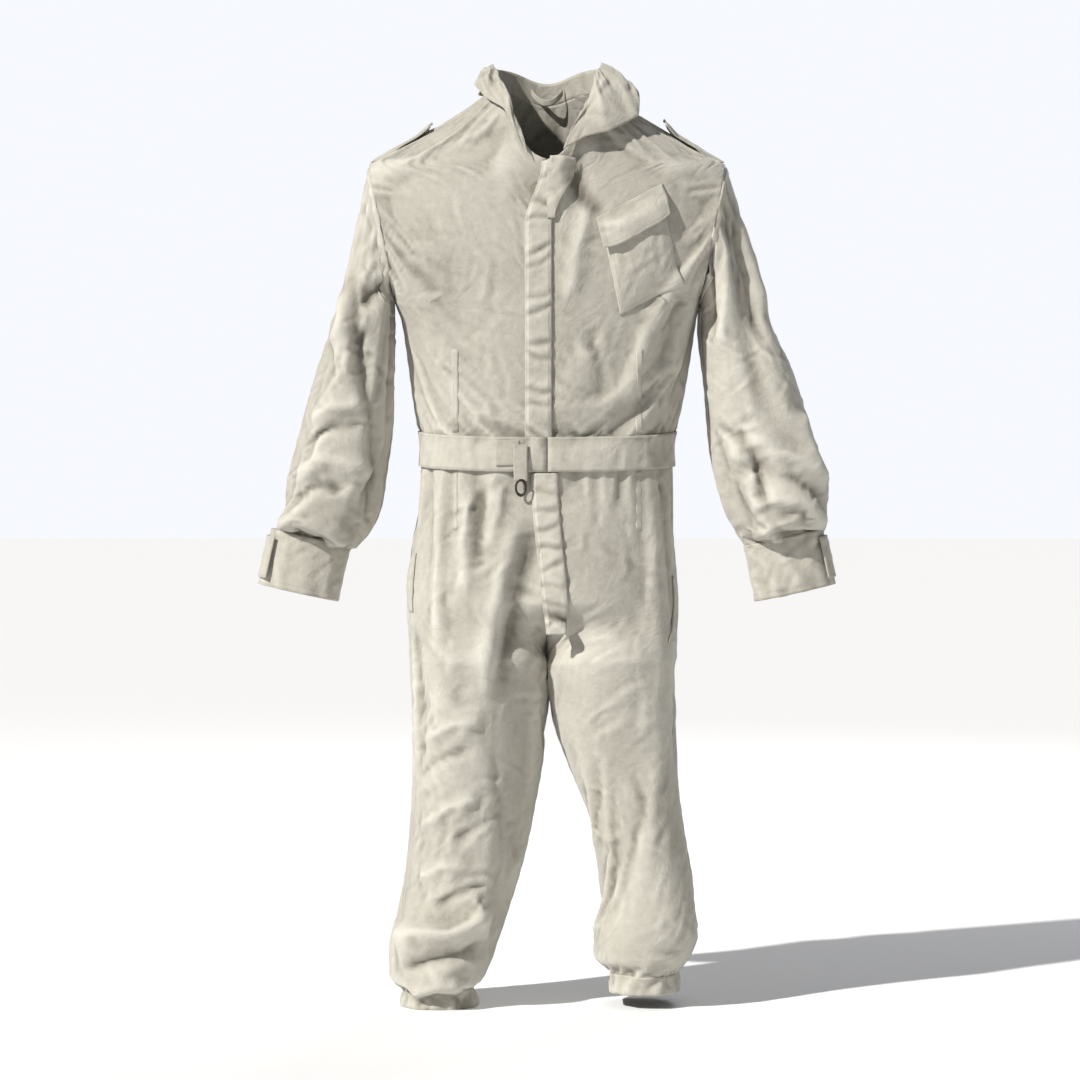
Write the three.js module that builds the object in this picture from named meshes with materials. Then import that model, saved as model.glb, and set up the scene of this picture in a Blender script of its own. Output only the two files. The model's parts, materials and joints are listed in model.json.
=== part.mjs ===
// A beekeeper's boiler suit: a long-sleeved cotton coverall with a shirt collar,
// a concealed button front, a waistband, one chest pocket and two side pockets.
// Every cloth piece is a plate bent over the body's surface. Units are mm, +Z is up,
// the front faces -Y and +X is the wearer's left. The origin is the centre of the
// neck opening at the height of the nape, where a hanger's hook comes through.
import * as THREE from "three";
import { mergeVertices } from "three/addons/utils/BufferGeometryUtils.js";

// ---- driving sizes ------------------------------------------------------------------
const cloth = 2.4; // one cloth piece with its seam allowances
const seam = 0.4; // gap between two pieces that are sewn or lie together
const seamTurn = 0.002; // half that gap along a panel's edge, as a turn
const seamShare = 0.0012; // the same gap as a share of a trouser panel
const slack = 0.5; // extra room over buttons
const squareness = 2.4; // 2 is an ellipse, more is a squarer body section

const shoulderDrop = 101; // nape to shoulder tip
const shoulderHalf = 274; // centre line to shoulder tip
const armpitDrop = 310;
const armpitHalf = 236;
const waistDrop = 540; // nape to the middle of the waistband
const waistHalf = 194;
const waistbandHeight = 50;
const waistDip = 9; // the waistband's front hangs lower than its sides
const hipDrop = 780;
const hipHalf = 226;
const crotchDrop = 862;
const flyEndDrop = 770;
const yokeDrop = 170;

const neckHalf = 88; // neck opening: half width, then reach to the front and back
const neckFront = 114;
const neckBack = 76;
const standHeight = 32;
const fallHeight = 42;

const placketWidth = 40;
const placketLap = 34; // how far the placket reaches past the centre line
const placketTopDrop = 112;
const buttonRadius = 8;
const buttonThick = 2.4;
const placketButtons = 6;
const flyButtons = 4;

const armTilt = 12.5 * (Math.PI / 180); // sleeves hang this far from upright
const sleeveLength = 590; // shoulder tip to the top of the cuff, along the sleeve
const cuffHeight = 88;
const cuffHalfWidth = 60;
const cuffHalfDepth = 40;

const hipAxisDrop = 700; // the leg's swing axis
const hipArc = 168; // radius of the cut where a leg swings under the hips
const swingGap = 0.9; // between the two edges of that cut, as a radius
const hemHeight = 30;

// Trunk: drop below the nape, half width, half depth.
const trunk = [
  [-30, 60, 62],
  [-10, 92, 70],
  [shoulderDrop, shoulderHalf, 114],
  [shoulderDrop + 49, shoulderHalf + 26, 124],
  [shoulderDrop + 104, shoulderHalf + 30, 131],
  [armpitDrop - 48, armpitHalf + 46, 137],
  [armpitDrop, armpitHalf, 140],
  [armpitDrop + 40, armpitHalf - 20, 139],
  [armpitDrop + 80, armpitHalf - 28, 137],
  [waistDrop, waistHalf, 120],
  [waistDrop + 100, waistHalf + 14, 132],
  [hipDrop, hipHalf, 143],
  [hipDrop + 120, hipHalf, 143],
];
// Legs: drop below the nape, centre from the middle, half width, half depth.
const rightLeg = [
  [crotchDrop, 117, 112, 132],
  [crotchDrop + 99, 118, 103, 116],
  [crotchDrop + 223, 120, 92, 100],
  [crotchDrop + 347, 133, 81, 90],
  [crotchDrop + 448, 167, 82, 92],
  [crotchDrop + 504, 167, 62, 76],
  [crotchDrop + 538, 167, 62, 76],
];
const leftLeg = [
  [crotchDrop, 106, 101, 132],
  [crotchDrop + 99, 107, 87, 116],
  [crotchDrop + 223, 130, 70, 100],
  [crotchDrop + 347, 153, 72, 90],
  [crotchDrop + 438, 148, 79, 92],
  [crotchDrop + 482, 150, 56, 76],
  [crotchDrop + 516, 150, 56, 76],
];
// Sleeve: share of its length, half width, half depth, extra tilt in radians.
const sleeveRings = [
  [0.42, 65, 78, 0.12],
  [0.7, 84, 76, 0],
  [0.86, 86, 74, 0],
  [1, cuffHalfWidth, cuffHalfDepth, 0],
];
// The sleeve's middle line starts this far inside the shoulder tip.
const sleeveInset = 36;

// ---- helpers ------------------------------------------------------------------------
const vec = (x, y, z) => new THREE.Vector3(x, y, z);
const mix = THREE.MathUtils.lerp;
const ease = THREE.MathUtils.smoothstep;
const quarter = Math.PI / 2;
const sides = { right: -1, left: 1 };

// A smooth curve through rows of [place, value, ...]; `column` picks the value.
function through(rows, column = 1) {
  const slope = (i) => (rows[i + 1][column] - rows[i][column]) / (rows[i + 1][0] - rows[i][0]);
  const tangent = (i) => {
    if (i === 0) return slope(0);
    if (i === rows.length - 1) return slope(i - 1);
    const before = slope(i - 1);
    const after = slope(i);
    return before * after <= 0 ? 0 : (2 * before * after) / (before + after);
  };
  return (place) => {
    const last = rows.length - 2;
    let i = 0;
    while (i < last && place > rows[i + 1][0]) i += 1;
    const span = rows[i + 1][0] - rows[i][0];
    const k = THREE.MathUtils.clamp((place - rows[i][0]) / span, 0, 1);
    const from = rows[i][column];
    const to = rows[i + 1][column];
    const bend = tangent(i) * span * k * (1 - k) ** 2 - tangent(i + 1) * span * k * k * (1 - k);
    return from + (to - from) * k * k * (3 - 2 * k) + bend;
  };
}

// The place between low and high where a rising test turns true.
function where(test, low, high) {
  for (let i = 0; i < 40; i += 1) {
    const middle = (low + high) / 2;
    if (test(middle)) high = middle;
    else low = middle;
  }
  return (low + high) / 2;
}

// Lifts for a piece lying on the body cloth, and for one lying behind it.
const onTop = () => seam + cloth;
const liningGap = 1.6; // a facing hangs this far behind the body cloth
const behind = () => -cloth - seam - liningGap;

const signedPower = (value, power) => Math.sign(value) * Math.abs(value) ** power;
const squared = (value) => signedPower(value, 2 / squareness);

// A cloth piece: a box of quads whose broad faces follow surface(u, v), which turns
// anticlockwise seen from above as u grows and climbs as v grows. The cloth lies just
// inside the surface, and lift(u, v) raises it.
function plate(surface, across, along, lift = () => 0, thick = cloth) {
  const box = new THREE.BoxGeometry(1, 1, 1, across, along, 1);
  box.deleteAttribute("normal");
  box.deleteAttribute("uv");
  const places = box.attributes.position;
  const step = 1e-4;
  for (let i = 0; i < places.count; i += 1) {
    const u = places.getX(i) + 0.5;
    const v = places.getY(i) + 0.5;
    const du = surface(u + step, v).sub(surface(u - step, v));
    const dv = surface(u, v + step).sub(surface(u, v - step));
    const normal = du.cross(dv).normalize();
    const height = lift(u, v) + (places.getZ(i) - 0.5) * thick;
    const point = surface(u, v).addScaledVector(normal, height);
    places.setXYZ(i, point.x, point.y, point.z);
  }
  return mergeVertices(box, 1e-5);
}

const suit = new THREE.Group();
const cotton = { color: 0xcdc5b0, roughness: 0.92, metalness: 0 };
const buttonPlastic = { color: 0x8f8672, roughness: 0.5, metalness: 0 };
const darkMetal = { color: 0x3a3128, roughness: 0.45, metalness: 0.8 };

function add(name, geometry, look = cotton) {
  const mesh = new THREE.Mesh(geometry, new THREE.MeshStandardMaterial(look));
  mesh.name = name;
  suit.add(mesh);
  return mesh;
}

// A dished button lying on a surface, with its flat back a seam's gap off the cloth.
function addButton(name, point, normal, gap = seam) {
  const rim = buttonThick;
  const dish = [buttonRadius - 2, rim];
  const profile = [[0, 0], [buttonRadius, 0], [buttonRadius, rim], dish, [0, rim - 0.6]];
  const disc = new THREE.LatheGeometry(profile.map(([x, y]) => new THREE.Vector2(x, y)), 12);
  const mesh = add(name, disc, buttonPlastic);
  mesh.quaternion.setFromUnitVectors(vec(0, 1, 0), normal);
  mesh.position.copy(point).addScaledVector(normal, gap);
}

// ---- trunk --------------------------------------------------------------------------
const trunkWidth = through(trunk, 1);
const trunkDepth = through(trunk, 2);

// turn is 0 at the centre front, a quarter at the left side, a half at the centre back.
function trunkPoint(turn, z) {
  return vec(trunkWidth(-z) * squared(Math.sin(turn)), -trunkDepth(-z) * squared(Math.cos(turn)), z);
}

function frontPoint(x, z) {
  const share = Math.abs(x / trunkWidth(-z)) ** squareness;
  return vec(x, -trunkDepth(-z) * (1 - share) ** (1 / squareness), z);
}

function frontNormal(x, z) {
  const du = frontPoint(x + 1, z).sub(frontPoint(x - 1, z));
  const dv = frontPoint(x, z + 1).sub(frontPoint(x, z - 1));
  return du.cross(dv).normalize();
}

// The armhole is a flat cut from the shoulder tip to the armpit.
const armholeHeight = armpitDrop - shoulderDrop;
const armholeX = (z) => mix(shoulderHalf, armpitHalf, (-z - shoulderDrop) / armholeHeight);
const inArmhole = (z) => -z > shoulderDrop && -z < armpitDrop;

// How far a panel's side edge is from the centre line, as a turn.
function edgeTurn(z) {
  if (!inArmhole(z)) return quarter;
  const share = Math.min(1, armholeX(z) / trunkWidth(-z));
  return Math.asin(share ** (squareness / 2));
}
const armholeY = (z) => trunkDepth(-z) * squared(Math.cos(edgeTurn(z)));

// The neck opening, an oval seen from above, on the trunk's surface.
function neckPoint(turn) {
  const reach = Math.cos(turn) > 0 ? neckFront : neckBack;
  const outside = (drop) => {
    const point = trunkPoint(turn, -drop);
    return (point.x / neckHalf) ** 2 + (point.y / reach) ** 2 > 1;
  };
  return trunkPoint(turn, -where(outside, -25, 260));
}

const waistLine = (turn) => -waistDrop - waistDip * Math.cos(turn);

// Rows of a panel: shares of its height that put rows on the named heights.
function rowsOn(bottom, top, heights) {
  const marks = [bottom, ...heights, top];
  const share = (z) => (z - bottom) / (top - bottom);
  return (v) => {
    const scaled = Math.min(v * (marks.length - 1), marks.length - 1 - 1e-9);
    const i = Math.max(0, Math.floor(scaled));
    return mix(share(marks[i]), share(marks[i + 1]), scaled - i);
  };
}

const neckSide = neckPoint(quarter).z;

function frontPanel(side) {
  const rows = rowsOn(-waistDrop, neckSide, [-armpitDrop, -shoulderDrop]);
  return (u, v) => {
    const out = side > 0 ? mix(seamTurn, 1, u) : mix(1, seamTurn, u);
    const bottom = waistLine(out * quarter) + seam / 2;
    const top = neckPoint(side * out * quarter).z;
    const z = mix(bottom, top, rows(v));
    return trunkPoint(side * out * (edgeTurn(z) - seamTurn), z);
  };
}
for (const [name, side] of Object.entries(sides)) {
  add(`front_${name}_panel`, plate(frontPanel(side), 8, 12));
}

function backPiece(bottomOf, topOf, rows) {
  return (u, v) => {
    const out = 2 * u - 1;
    const z = mix(bottomOf(out), topOf(out), rows(v));
    return trunkPoint(Math.PI + out * (edgeTurn(z) - seamTurn), z);
  };
}
const yokeSeam = () => -yokeDrop;
const backWaist = (out) => waistLine(Math.PI + out * quarter) + seam / 2;
const backNeck = (out) => neckPoint(Math.PI + out * quarter).z;
const backRows = rowsOn(-waistDrop, -yokeDrop, [-armpitDrop]);
const yokeRows = rowsOn(-yokeDrop, neckSide, [-shoulderDrop]);
add("back_panel", plate(backPiece(backWaist, yokeSeam, backRows), 14, 8));
add("back_yoke", plate(backPiece(() => -yokeDrop + seam, backNeck, yokeRows), 16, 6));

// ---- collar and hanger loop ---------------------------------------------------------
const collarEnd = 0.42; // turn where the collar stops beside the front edges
const leafEnd = 1.45; // turn where the loose collar leaves start

// A point on the collar: height above the neck seam, and how far outside it.
function collarPoint(turn, height, out) {
  const base = neckPoint(turn);
  const outward = vec(base.x, base.y, 0).normalize();
  return base.addScaledVector(outward, out).add(vec(0, 0, height + seam));
}

function collarPiece(from, to, lowHeight, highHeight, lowOut, highOut) {
  return (u, v) => {
    const turn = mix(from, to, u);
    return collarPoint(turn, mix(lowHeight, highHeight, v), mix(lowOut, highOut, v));
  };
}
const standTop = standHeight + 2 * seam;
const fallOut = cloth + seam;
const fallFlare = 17;
const fallDrop = standTop - fallHeight + 6;
const whole = 2 * Math.PI;
add("collar_stand", plate(collarPiece(collarEnd, whole - collarEnd, 0, standHeight, 0, -5), 22, 1));
add(
  "collar_fall_back",
  plate(collarPiece(leafEnd, whole - leafEnd, fallDrop + 4, standTop, fallFlare, fallOut - 5), 14, 3),
);

// Each leaf is the collar's loose front end, longer towards its point.
function collarLeaf(side) {
  return (u, v) => {
    const share = side > 0 ? u : 1 - u;
    const turn = side * mix(collarEnd + 0.06, leafEnd - 0.01, share);
    const point = 1 - share;
    const height = mix(fallDrop + 2 - 14 * point, standTop + seam, v);
    const out = mix(fallFlare + 6 + 12 * point, fallOut - 5, v);
    return collarPoint(turn, height, out);
  };
}
for (const [name, side] of Object.entries(sides)) {
  add(`collar_leaf_${name}`, plate(collarLeaf(side), 8, 3));
}

const loopHalf = 24;
const loopDrop = 15;
const loopTape = 1.6;
const loopWall = neckBack - cloth - 8;
const loopPath = new THREE.CatmullRomCurve3([
  vec(-loopHalf, loopWall, 18),
  vec(-loopHalf, loopWall - 4, 12),
  vec(0, loopWall - 12, 12 - loopDrop),
  vec(loopHalf, loopWall - 4, 12),
  vec(loopHalf, loopWall, 18),
]);
const loopSection = new THREE.Shape(
  new THREE.EllipseCurve(0, 0, loopTape, loopTape).getPoints(7).map((p) => new THREE.Vector2(p.x, p.y)),
);
add(
  "hanger_loop",
  new THREE.ExtrudeGeometry(loopSection, { steps: 14, extrudePath: loopPath, curveSegments: 4 }),
);

// ---- button front -------------------------------------------------------------------
const bandBottom = -waistDrop - waistDip + waistbandHeight / 2 + 2; // just above the waistband
const buttonLift = buttonThick + 2 * seam;

// A strip on the front between two slanting edges, sewn at its left, loose at its right.
function frontStrip(bottom, top, middleAt, width) {
  return (u, v) => {
    const z = mix(bottom, top, v);
    return frontPoint(middleAt(z) + (u - 0.5) * width, z);
  };
}
const overButtons = (u) => onTop() + slack + buttonLift * (1 - ease(u, 0.66, 0.9));
const placketMiddle = placketWidth / 2 - placketLap;
add(
  "front_placket",
  plate(frontStrip(bandBottom, -placketTopDrop, () => placketMiddle, placketWidth), 5, 10, overButtons),
);
const bandWidth = placketLap - 2;
const bandTop = -placketTopDrop - 16;
add(
  "button_band",
  plate(frontStrip(bandBottom, bandTop, () => -bandWidth / 2 - 1, bandWidth), 2, 10, behind),
);
const buttonX = -placketLap / 2 - 1;
const firstButton = -placketTopDrop - 30;
const lastButton = bandBottom + 22;
for (let i = 0; i < placketButtons; i += 1) {
  const z = mix(firstButton, lastButton, i / (placketButtons - 1));
  addButton(`placket_button_${i + 1}`, frontPoint(buttonX, z), frontNormal(buttonX, z));
}

// ---- waistband and its tab ----------------------------------------------------------
function waistPiece(from, to) {
  return (u, v) => {
    const turn = mix(from, to, u);
    return trunkPoint(turn, waistLine(turn) + (v - 0.5) * waistbandHeight);
  };
}
const bandEase = 2; // the waistband stands this far off the gathered cloth
const bandLift = () => onTop() + bandEase;
add("waistband_front_right", plate(waistPiece(-quarter + seamTurn, -seamTurn), 8, 2, bandLift));
add("waistband_front_left", plate(waistPiece(seamTurn, quarter - seamTurn), 8, 2, bandLift));
add("waistband_back", plate(waistPiece(quarter + seamTurn, 3 * quarter - seamTurn), 14, 2, bandLift));

const tabWidth = 20;
const tabLength = 52;
const tabX = -45;
const tabTop = -waistDrop - waistDip + 16;
const tabLift = () => bandLift() + onTop();
add(
  "waist_tab",
  plate(frontStrip(tabTop - tabLength, tabTop, () => tabX, tabWidth), 2, 5, tabLift),
);
// The tab's end carries a long metal ring, hung from the strap by its upper bar.
const ringHalf = { width: 8, height: 13 };
const wire = 1.5;
const ringTop = frontPoint(tabX, tabTop - tabLength - wire + seam);
ringTop.y -= tabLift() - cloth / 2;
const ringBottomZ = ringTop.z - 2 * ringHalf.height;
const ringPoint = (k) => {
  const angle = (k + 0.5) * whole;
  const z = (ringTop.z + ringBottomZ) / 2 + ringHalf.height * Math.cos(angle);
  return vec(tabX + ringHalf.width * Math.sin(angle), ringTop.y, z);
};
const ringStart = 0.02; // the wire's two ends stop just short of each other
const ringCurve = new THREE.CatmullRomCurve3(
  Array.from({ length: 15 }, (_, i) => ringPoint(mix(ringStart, 1 - ringStart, i / 14))),
);
const wireSection = new THREE.Shape(
  new THREE.EllipseCurve(0, 0, wire, wire).getPoints(6).map((p) => new THREE.Vector2(p.x, p.y)),
);
add(
  "waist_tab_ring",
  new THREE.ExtrudeGeometry(wireSection, { steps: 20, extrudePath: ringCurve }),
  darkMetal,
);

// ---- chest pocket -------------------------------------------------------------------
const pocket = { x: 122, drop: 176, width: 108, height: 158, slant: -0.42, crown: 11 };
const flap = { width: 116, height: 54, rise: 10, point: 16 };

// A place on the left chest, measured across and down from the pocket's top middle.
function chestPoint(across, down) {
  const x = pocket.x + across * Math.cos(pocket.slant) - down * Math.sin(pocket.slant) * 0.35;
  const z = -pocket.drop - across * Math.sin(pocket.slant) - down * Math.cos(pocket.slant);
  return frontPoint(x, z);
}
const pouch = (u, v) => chestPoint((u - 0.5) * pocket.width, mix(pocket.height, 14, v));
const pouchLift = (u, v) => {
  const acrossCrown = Math.sin(Math.PI * THREE.MathUtils.clamp(u, 0, 1));
  const downCrown = Math.min(1, Math.sqrt(Math.max(0, v) * 1.8));
  return seam + cloth + 0.6 + pocket.crown * acrossCrown ** 0.7 * downCrown;
};
add("chest_pocket_pouch", plate(pouch, 8, 8, pouchLift));
const flapSurface = (u, v) => {
  const across = (u - 0.5) * flap.width;
  const edge = flap.height + flap.point * (1 - Math.abs(2 * u - 1)) - flap.rise;
  return chestPoint(across, mix(edge, -flap.rise, v));
};
const flapButtonLift = buttonLift + 1.6;
const flapLift = (u, v) => {
  const inside = 1 - ease(v, 0.5, 0.95);
  const overPouch = pouchLift(mix(0.04, 0.96, u), 1) + onTop() + 1;
  return mix(onTop(), overPouch + flapButtonLift, inside);
};
add("chest_pocket_flap", plate(flapSurface, 8, 5, flapLift));
const pocketButtonAt = 0.86;
const pouchOut = (u, v) => {
  const point = pouch(u, v);
  const normal = frontNormal(point.x, point.z);
  return { point: point.addScaledVector(normal, pouchLift(u, v)), normal };
};
const pocketButton = pouchOut(0.5, pocketButtonAt);
addButton("chest_pocket_button", pocketButton.point, pocketButton.normal, 2 * seam);

// ---- shoulder straps ----------------------------------------------------------------
const strap = { length: 118, half: 21, inset: 5 };
// across: front to back over the shoulder; along: from the armhole towards the neck.
function shoulderPoint(side, across, along) {
  const slope = (shoulderHalf - neckHalf) / (shoulderDrop + neckSide);
  const z = -shoulderDrop + (strap.inset + along) / Math.hypot(1, slope);
  const share = Math.min(0.999, Math.abs(across) / trunkDepth(-z)) ** squareness;
  const x = trunkWidth(-z) * (1 - share) ** (1 / squareness);
  return vec(side * x, across, z);
}
const strapLift = (along) => seam + cloth + (buttonLift + seam) * ease(along, 0.25, 0.6);
for (const [name, side] of Object.entries(sides)) {
  const surface = (u, v) => shoulderPoint(side, side * (2 * u - 1) * strap.half, v * strap.length);
  add(`epaulette_${name}`, plate(surface, 6, 8, (u, v) => strapLift(v)));
  const along = 0.84;
  const at = surface(0.5, along);
  const du = surface(0.6, along).sub(surface(0.4, along));
  const dv = surface(0.5, along + 0.05).sub(surface(0.5, along - 0.05));
  const normal = du.cross(dv).normalize();
  addButton(`epaulette_button_${name}`, at, normal, 2 * seam);
}

// ---- sleeves and cuffs --------------------------------------------------------------
const armholeMiddle = -(shoulderDrop + armpitDrop) / 2;
const armholeHalf = armholeHeight / 2;
const armholeSlant = Math.atan((shoulderHalf - armpitHalf) / armholeHeight);

// The armhole's rim, moved out of the trunk: by a seam's gap, and by a cloth more on top.
function armholeRing(side) {
  return (turn) => {
    const z = armholeMiddle + side * armholeHalf * Math.sin(turn) * 0.9999;
    const gap = 2 * seam + cloth * Math.max(0, side * Math.sin(turn));
    return vec(
      side * (armholeX(z) + gap * Math.cos(armholeSlant)),
      -Math.sign(Math.cos(turn)) * armholeY(z),
      z - gap * Math.sin(armholeSlant),
    );
  };
}

function armCentre(side, distance) {
  const x = shoulderHalf - sleeveInset + distance * Math.sin(armTilt);
  return vec(side * x, 0, -shoulderDrop - distance * Math.cos(armTilt));
}

// An oval across the sleeve; its outer point is raised by the sleeve's tilt.
function sleeveRing(side, distance, halfWidth, halfDepth, extraTilt = 0) {
  const centre = armCentre(side, distance);
  const across = vec(Math.cos(armTilt + extraTilt), 0, side * Math.sin(armTilt + extraTilt));
  return (turn) => {
    const point = centre.clone().addScaledVector(across, halfWidth * squared(Math.sin(turn)));
    point.y -= halfDepth * squared(Math.cos(turn));
    return point;
  };
}

function sleeveSurface(side, from, to) {
  const rings = sleeveRings.map(([share, ...size]) => sleeveRing(side, share * sleeveLength, ...size));
  const tucked = sleeveRing(side, sleeveLength + 10, cuffHalfWidth, cuffHalfDepth);
  const ordered = [tucked, ...rings.reverse(), armholeRing(side)];
  return (u, v) => {
    const turn = mix(from, to, u);
    const seamLine = new THREE.CatmullRomCurve3(ordered.map((ring) => ring(turn)));
    return seamLine.getPoint(THREE.MathUtils.clamp(v, 0, 1));
  };
}

function cuffSurface(side, from, to) {
  const top = sleeveRing(side, sleeveLength, cuffHalfWidth, cuffHalfDepth);
  const end = sleeveRing(side, sleeveLength + cuffHeight, cuffHalfWidth, cuffHalfDepth);
  return (u, v) => {
    const turn = mix(from, to, u);
    return end(turn).lerp(top(turn), v);
  };
}
const cuffSlit = 0.01;
const tabSpan = [0.45, -0.75]; // the cuff's lap, as turns from its outer edge
for (const [name, side] of Object.entries(sides)) {
  for (const [half, middle] of [["front", 0], ["back", 2 * quarter]]) {
    const reach = quarter - seamTurn;
    const panel = sleeveSurface(side, middle - reach, middle + reach);
    add(`sleeve_${name}_${half}`, plate(panel, 9, 10));
  }
  const outer = side * quarter;
  add(
    `cuff_${name}`,
    plate(cuffSurface(side, outer + cuffSlit, outer + whole - cuffSlit), 26, 2, onTop),
  );
  const ends = tabSpan.map((turn) => outer + side * turn).sort((a, b) => a - b);
  const lapSurface = (u, v) => cuffSurface(side, ...ends)(u, mix(0.12, 0.88, v));
  const towardsFront = (u) => (side > 0 ? 1 - u : u);
  const lapRise = buttonLift + 2 * seam;
  const lapLift = (u) => 2 * (seam + cloth) + lapRise * ease(towardsFront(u), 0.02, 0.24);
  add(`cuff_tab_${name}`, plate(lapSurface, 8, 2, lapLift));
  const spot = lapSurface(side > 0 ? 0.28 : 0.72, 0.5);
  const next = lapSurface(side > 0 ? 0.3 : 0.74, 0.5).sub(spot);
  const up = lapSurface(side > 0 ? 0.28 : 0.72, 0.6).sub(spot);
  const normal = next.cross(up).normalize();
  addButton(`cuff_button_${name}`, spot.addScaledVector(normal, onTop()), normal, 2 * seam);
}

// ---- trousers and legs --------------------------------------------------------------
const legs = { right: rightLeg, left: leftLeg };

// share runs from the outseam, 0, over the front or back to the centre or inseam, 1.
function trouserPoint(name, face, share, z) {
  const side = sides[name];
  const angle = share * quarter;
  const hip = vec(
    side * Math.max(seam / 2, trunkWidth(-z) * squared(Math.cos(angle))),
    face * trunkDepth(-z) * squared(Math.sin(angle)),
    z,
  );
  const drop = Math.max(-z, crotchDrop);
  const [centre, halfWidth, halfDepth] = [1, 2, 3].map((column) => through(legs[name], column)(drop));
  const turn = share * Math.PI;
  const leg = vec(
    side * (centre + halfWidth * squared(Math.cos(turn))),
    face * halfDepth * squared(Math.sin(turn)),
    z,
  );
  return hip.lerp(leg, ease(-z, flyEndDrop, crotchDrop));
}

const trouserWaist = (face, share) =>
  -waistDrop + face * waistDip * Math.sin(share * quarter) - seam / 2;

// The height where a piece crosses the arc about the leg's swing axis.
function arcHeight(name, face, share, radius) {
  const beyond = (drop) => {
    const point = trouserPoint(name, face, share, -drop);
    return Math.hypot(point.y, point.z + hipAxisDrop) > radius;
  };
  return -where(beyond, hipAxisDrop + 60, crotchDrop + 60);
}

// A trouser piece, with u turned so that it always runs anticlockwise from above.
function trouserPiece(name, face, bottomOf, topOf) {
  const side = sides[name];
  return (u, v) => {
    const along = side * face > 0 ? u : 1 - u;
    const even = (1 - Math.cos(Math.PI * along)) / 2; // closer rows at the two seams
    const share = mix(seamShare, 1 - seamShare, even);
    return trouserPoint(name, face, share, mix(bottomOf(share), topOf(share), v));
  };
}
const faces = { front: -1, back: 1 };
for (const name of Object.keys(sides)) {
  const hemDrop = legs[name].at(-1)[0];
  for (const [half, face] of Object.entries(faces)) {
    const arc = (radius) => (share) => arcHeight(name, face, share, radius);
    const waist = (share) => trouserWaist(face, share);
    const hemTop = () => -hemDrop + hemHeight + seam;
    add(`hips_${name}_${half}`, plate(trouserPiece(name, face, arc(hipArc), waist), 12, 7));
    add(`leg_${name}_${half}`, plate(trouserPiece(name, face, hemTop, arc(hipArc + swingGap)), 12, 10));
  }
  const hem = (u, v) => {
    const turn = mix(0.01, 2 - 0.01, u);
    const face = turn < 1 ? -1 : 1;
    const share = turn < 1 ? 1 - turn : turn - 1;
    const inward = sides[name] > 0 ? [face, share] : [-face, share];
    return trouserPoint(name, inward[0], inward[1], mix(-hemDrop, -hemDrop + hemHeight, v));
  };
  add(`hem_${name}`, plate(hem, 20, 1));
}

// ---- fly and side pockets -----------------------------------------------------------
const flyTop = -waistDrop - waistDip - waistbandHeight / 2 - 2;
const flyBottom = -flyEndDrop;
const flyWidth = 40;
const flyMiddle = (z) => mix(-8, 6, (flyTop - z) / (flyTop - flyBottom));
const flyLap = flyWidth / 2 + 10;
add("fly_cover", plate(frontStrip(flyBottom, flyTop, flyMiddle, flyWidth), 6, 8, overButtons));
add(
  "fly_facing",
  plate(frontStrip(flyBottom + 24, flyTop, () => -flyLap / 2 - 1, flyLap), 3, 7, behind),
);
for (let i = 0; i < flyButtons; i += 1) {
  const z = mix(flyTop - 22, flyBottom + 26, i / (flyButtons - 1));
  const x = flyMiddle(z) - 6;
  addButton(`fly_button_${i + 1}`, frontPoint(x, z), frontNormal(x, z), 1.5 * seam);
}

const sidePocket = {
  topDrop: 690,
  bottomDrop: 800,
  bagDrop: 774,
  nearSide: 0.16, // shares of the front's width, from the outseam
  width: 0.07,
  bagReach: 0.62,
};
for (const [name, side] of Object.entries(sides)) {
  const patch = (from, to, low, high) => (u, v) => {
    const share = side > 0 ? mix(to, from, u) : mix(from, to, u);
    return trouserPoint(name, -1, share, mix(low, high, v));
  };
  const near = sidePocket.nearSide;
  const welt = patch(near, near + sidePocket.width, -sidePocket.bottomDrop, -sidePocket.topDrop);
  add(`side_pocket_welt_${name}`, plate(welt, 2, 6, () => onTop() + seam / 2));
  const bag = patch(near - 0.06, sidePocket.bagReach, -sidePocket.bagDrop, -sidePocket.topDrop - 8);
  add(`side_pocket_bag_${name}`, plate(bag, 6, 5, () => behind() - 0.75 * seam, 2 * cloth));
}

export default suit;
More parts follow.
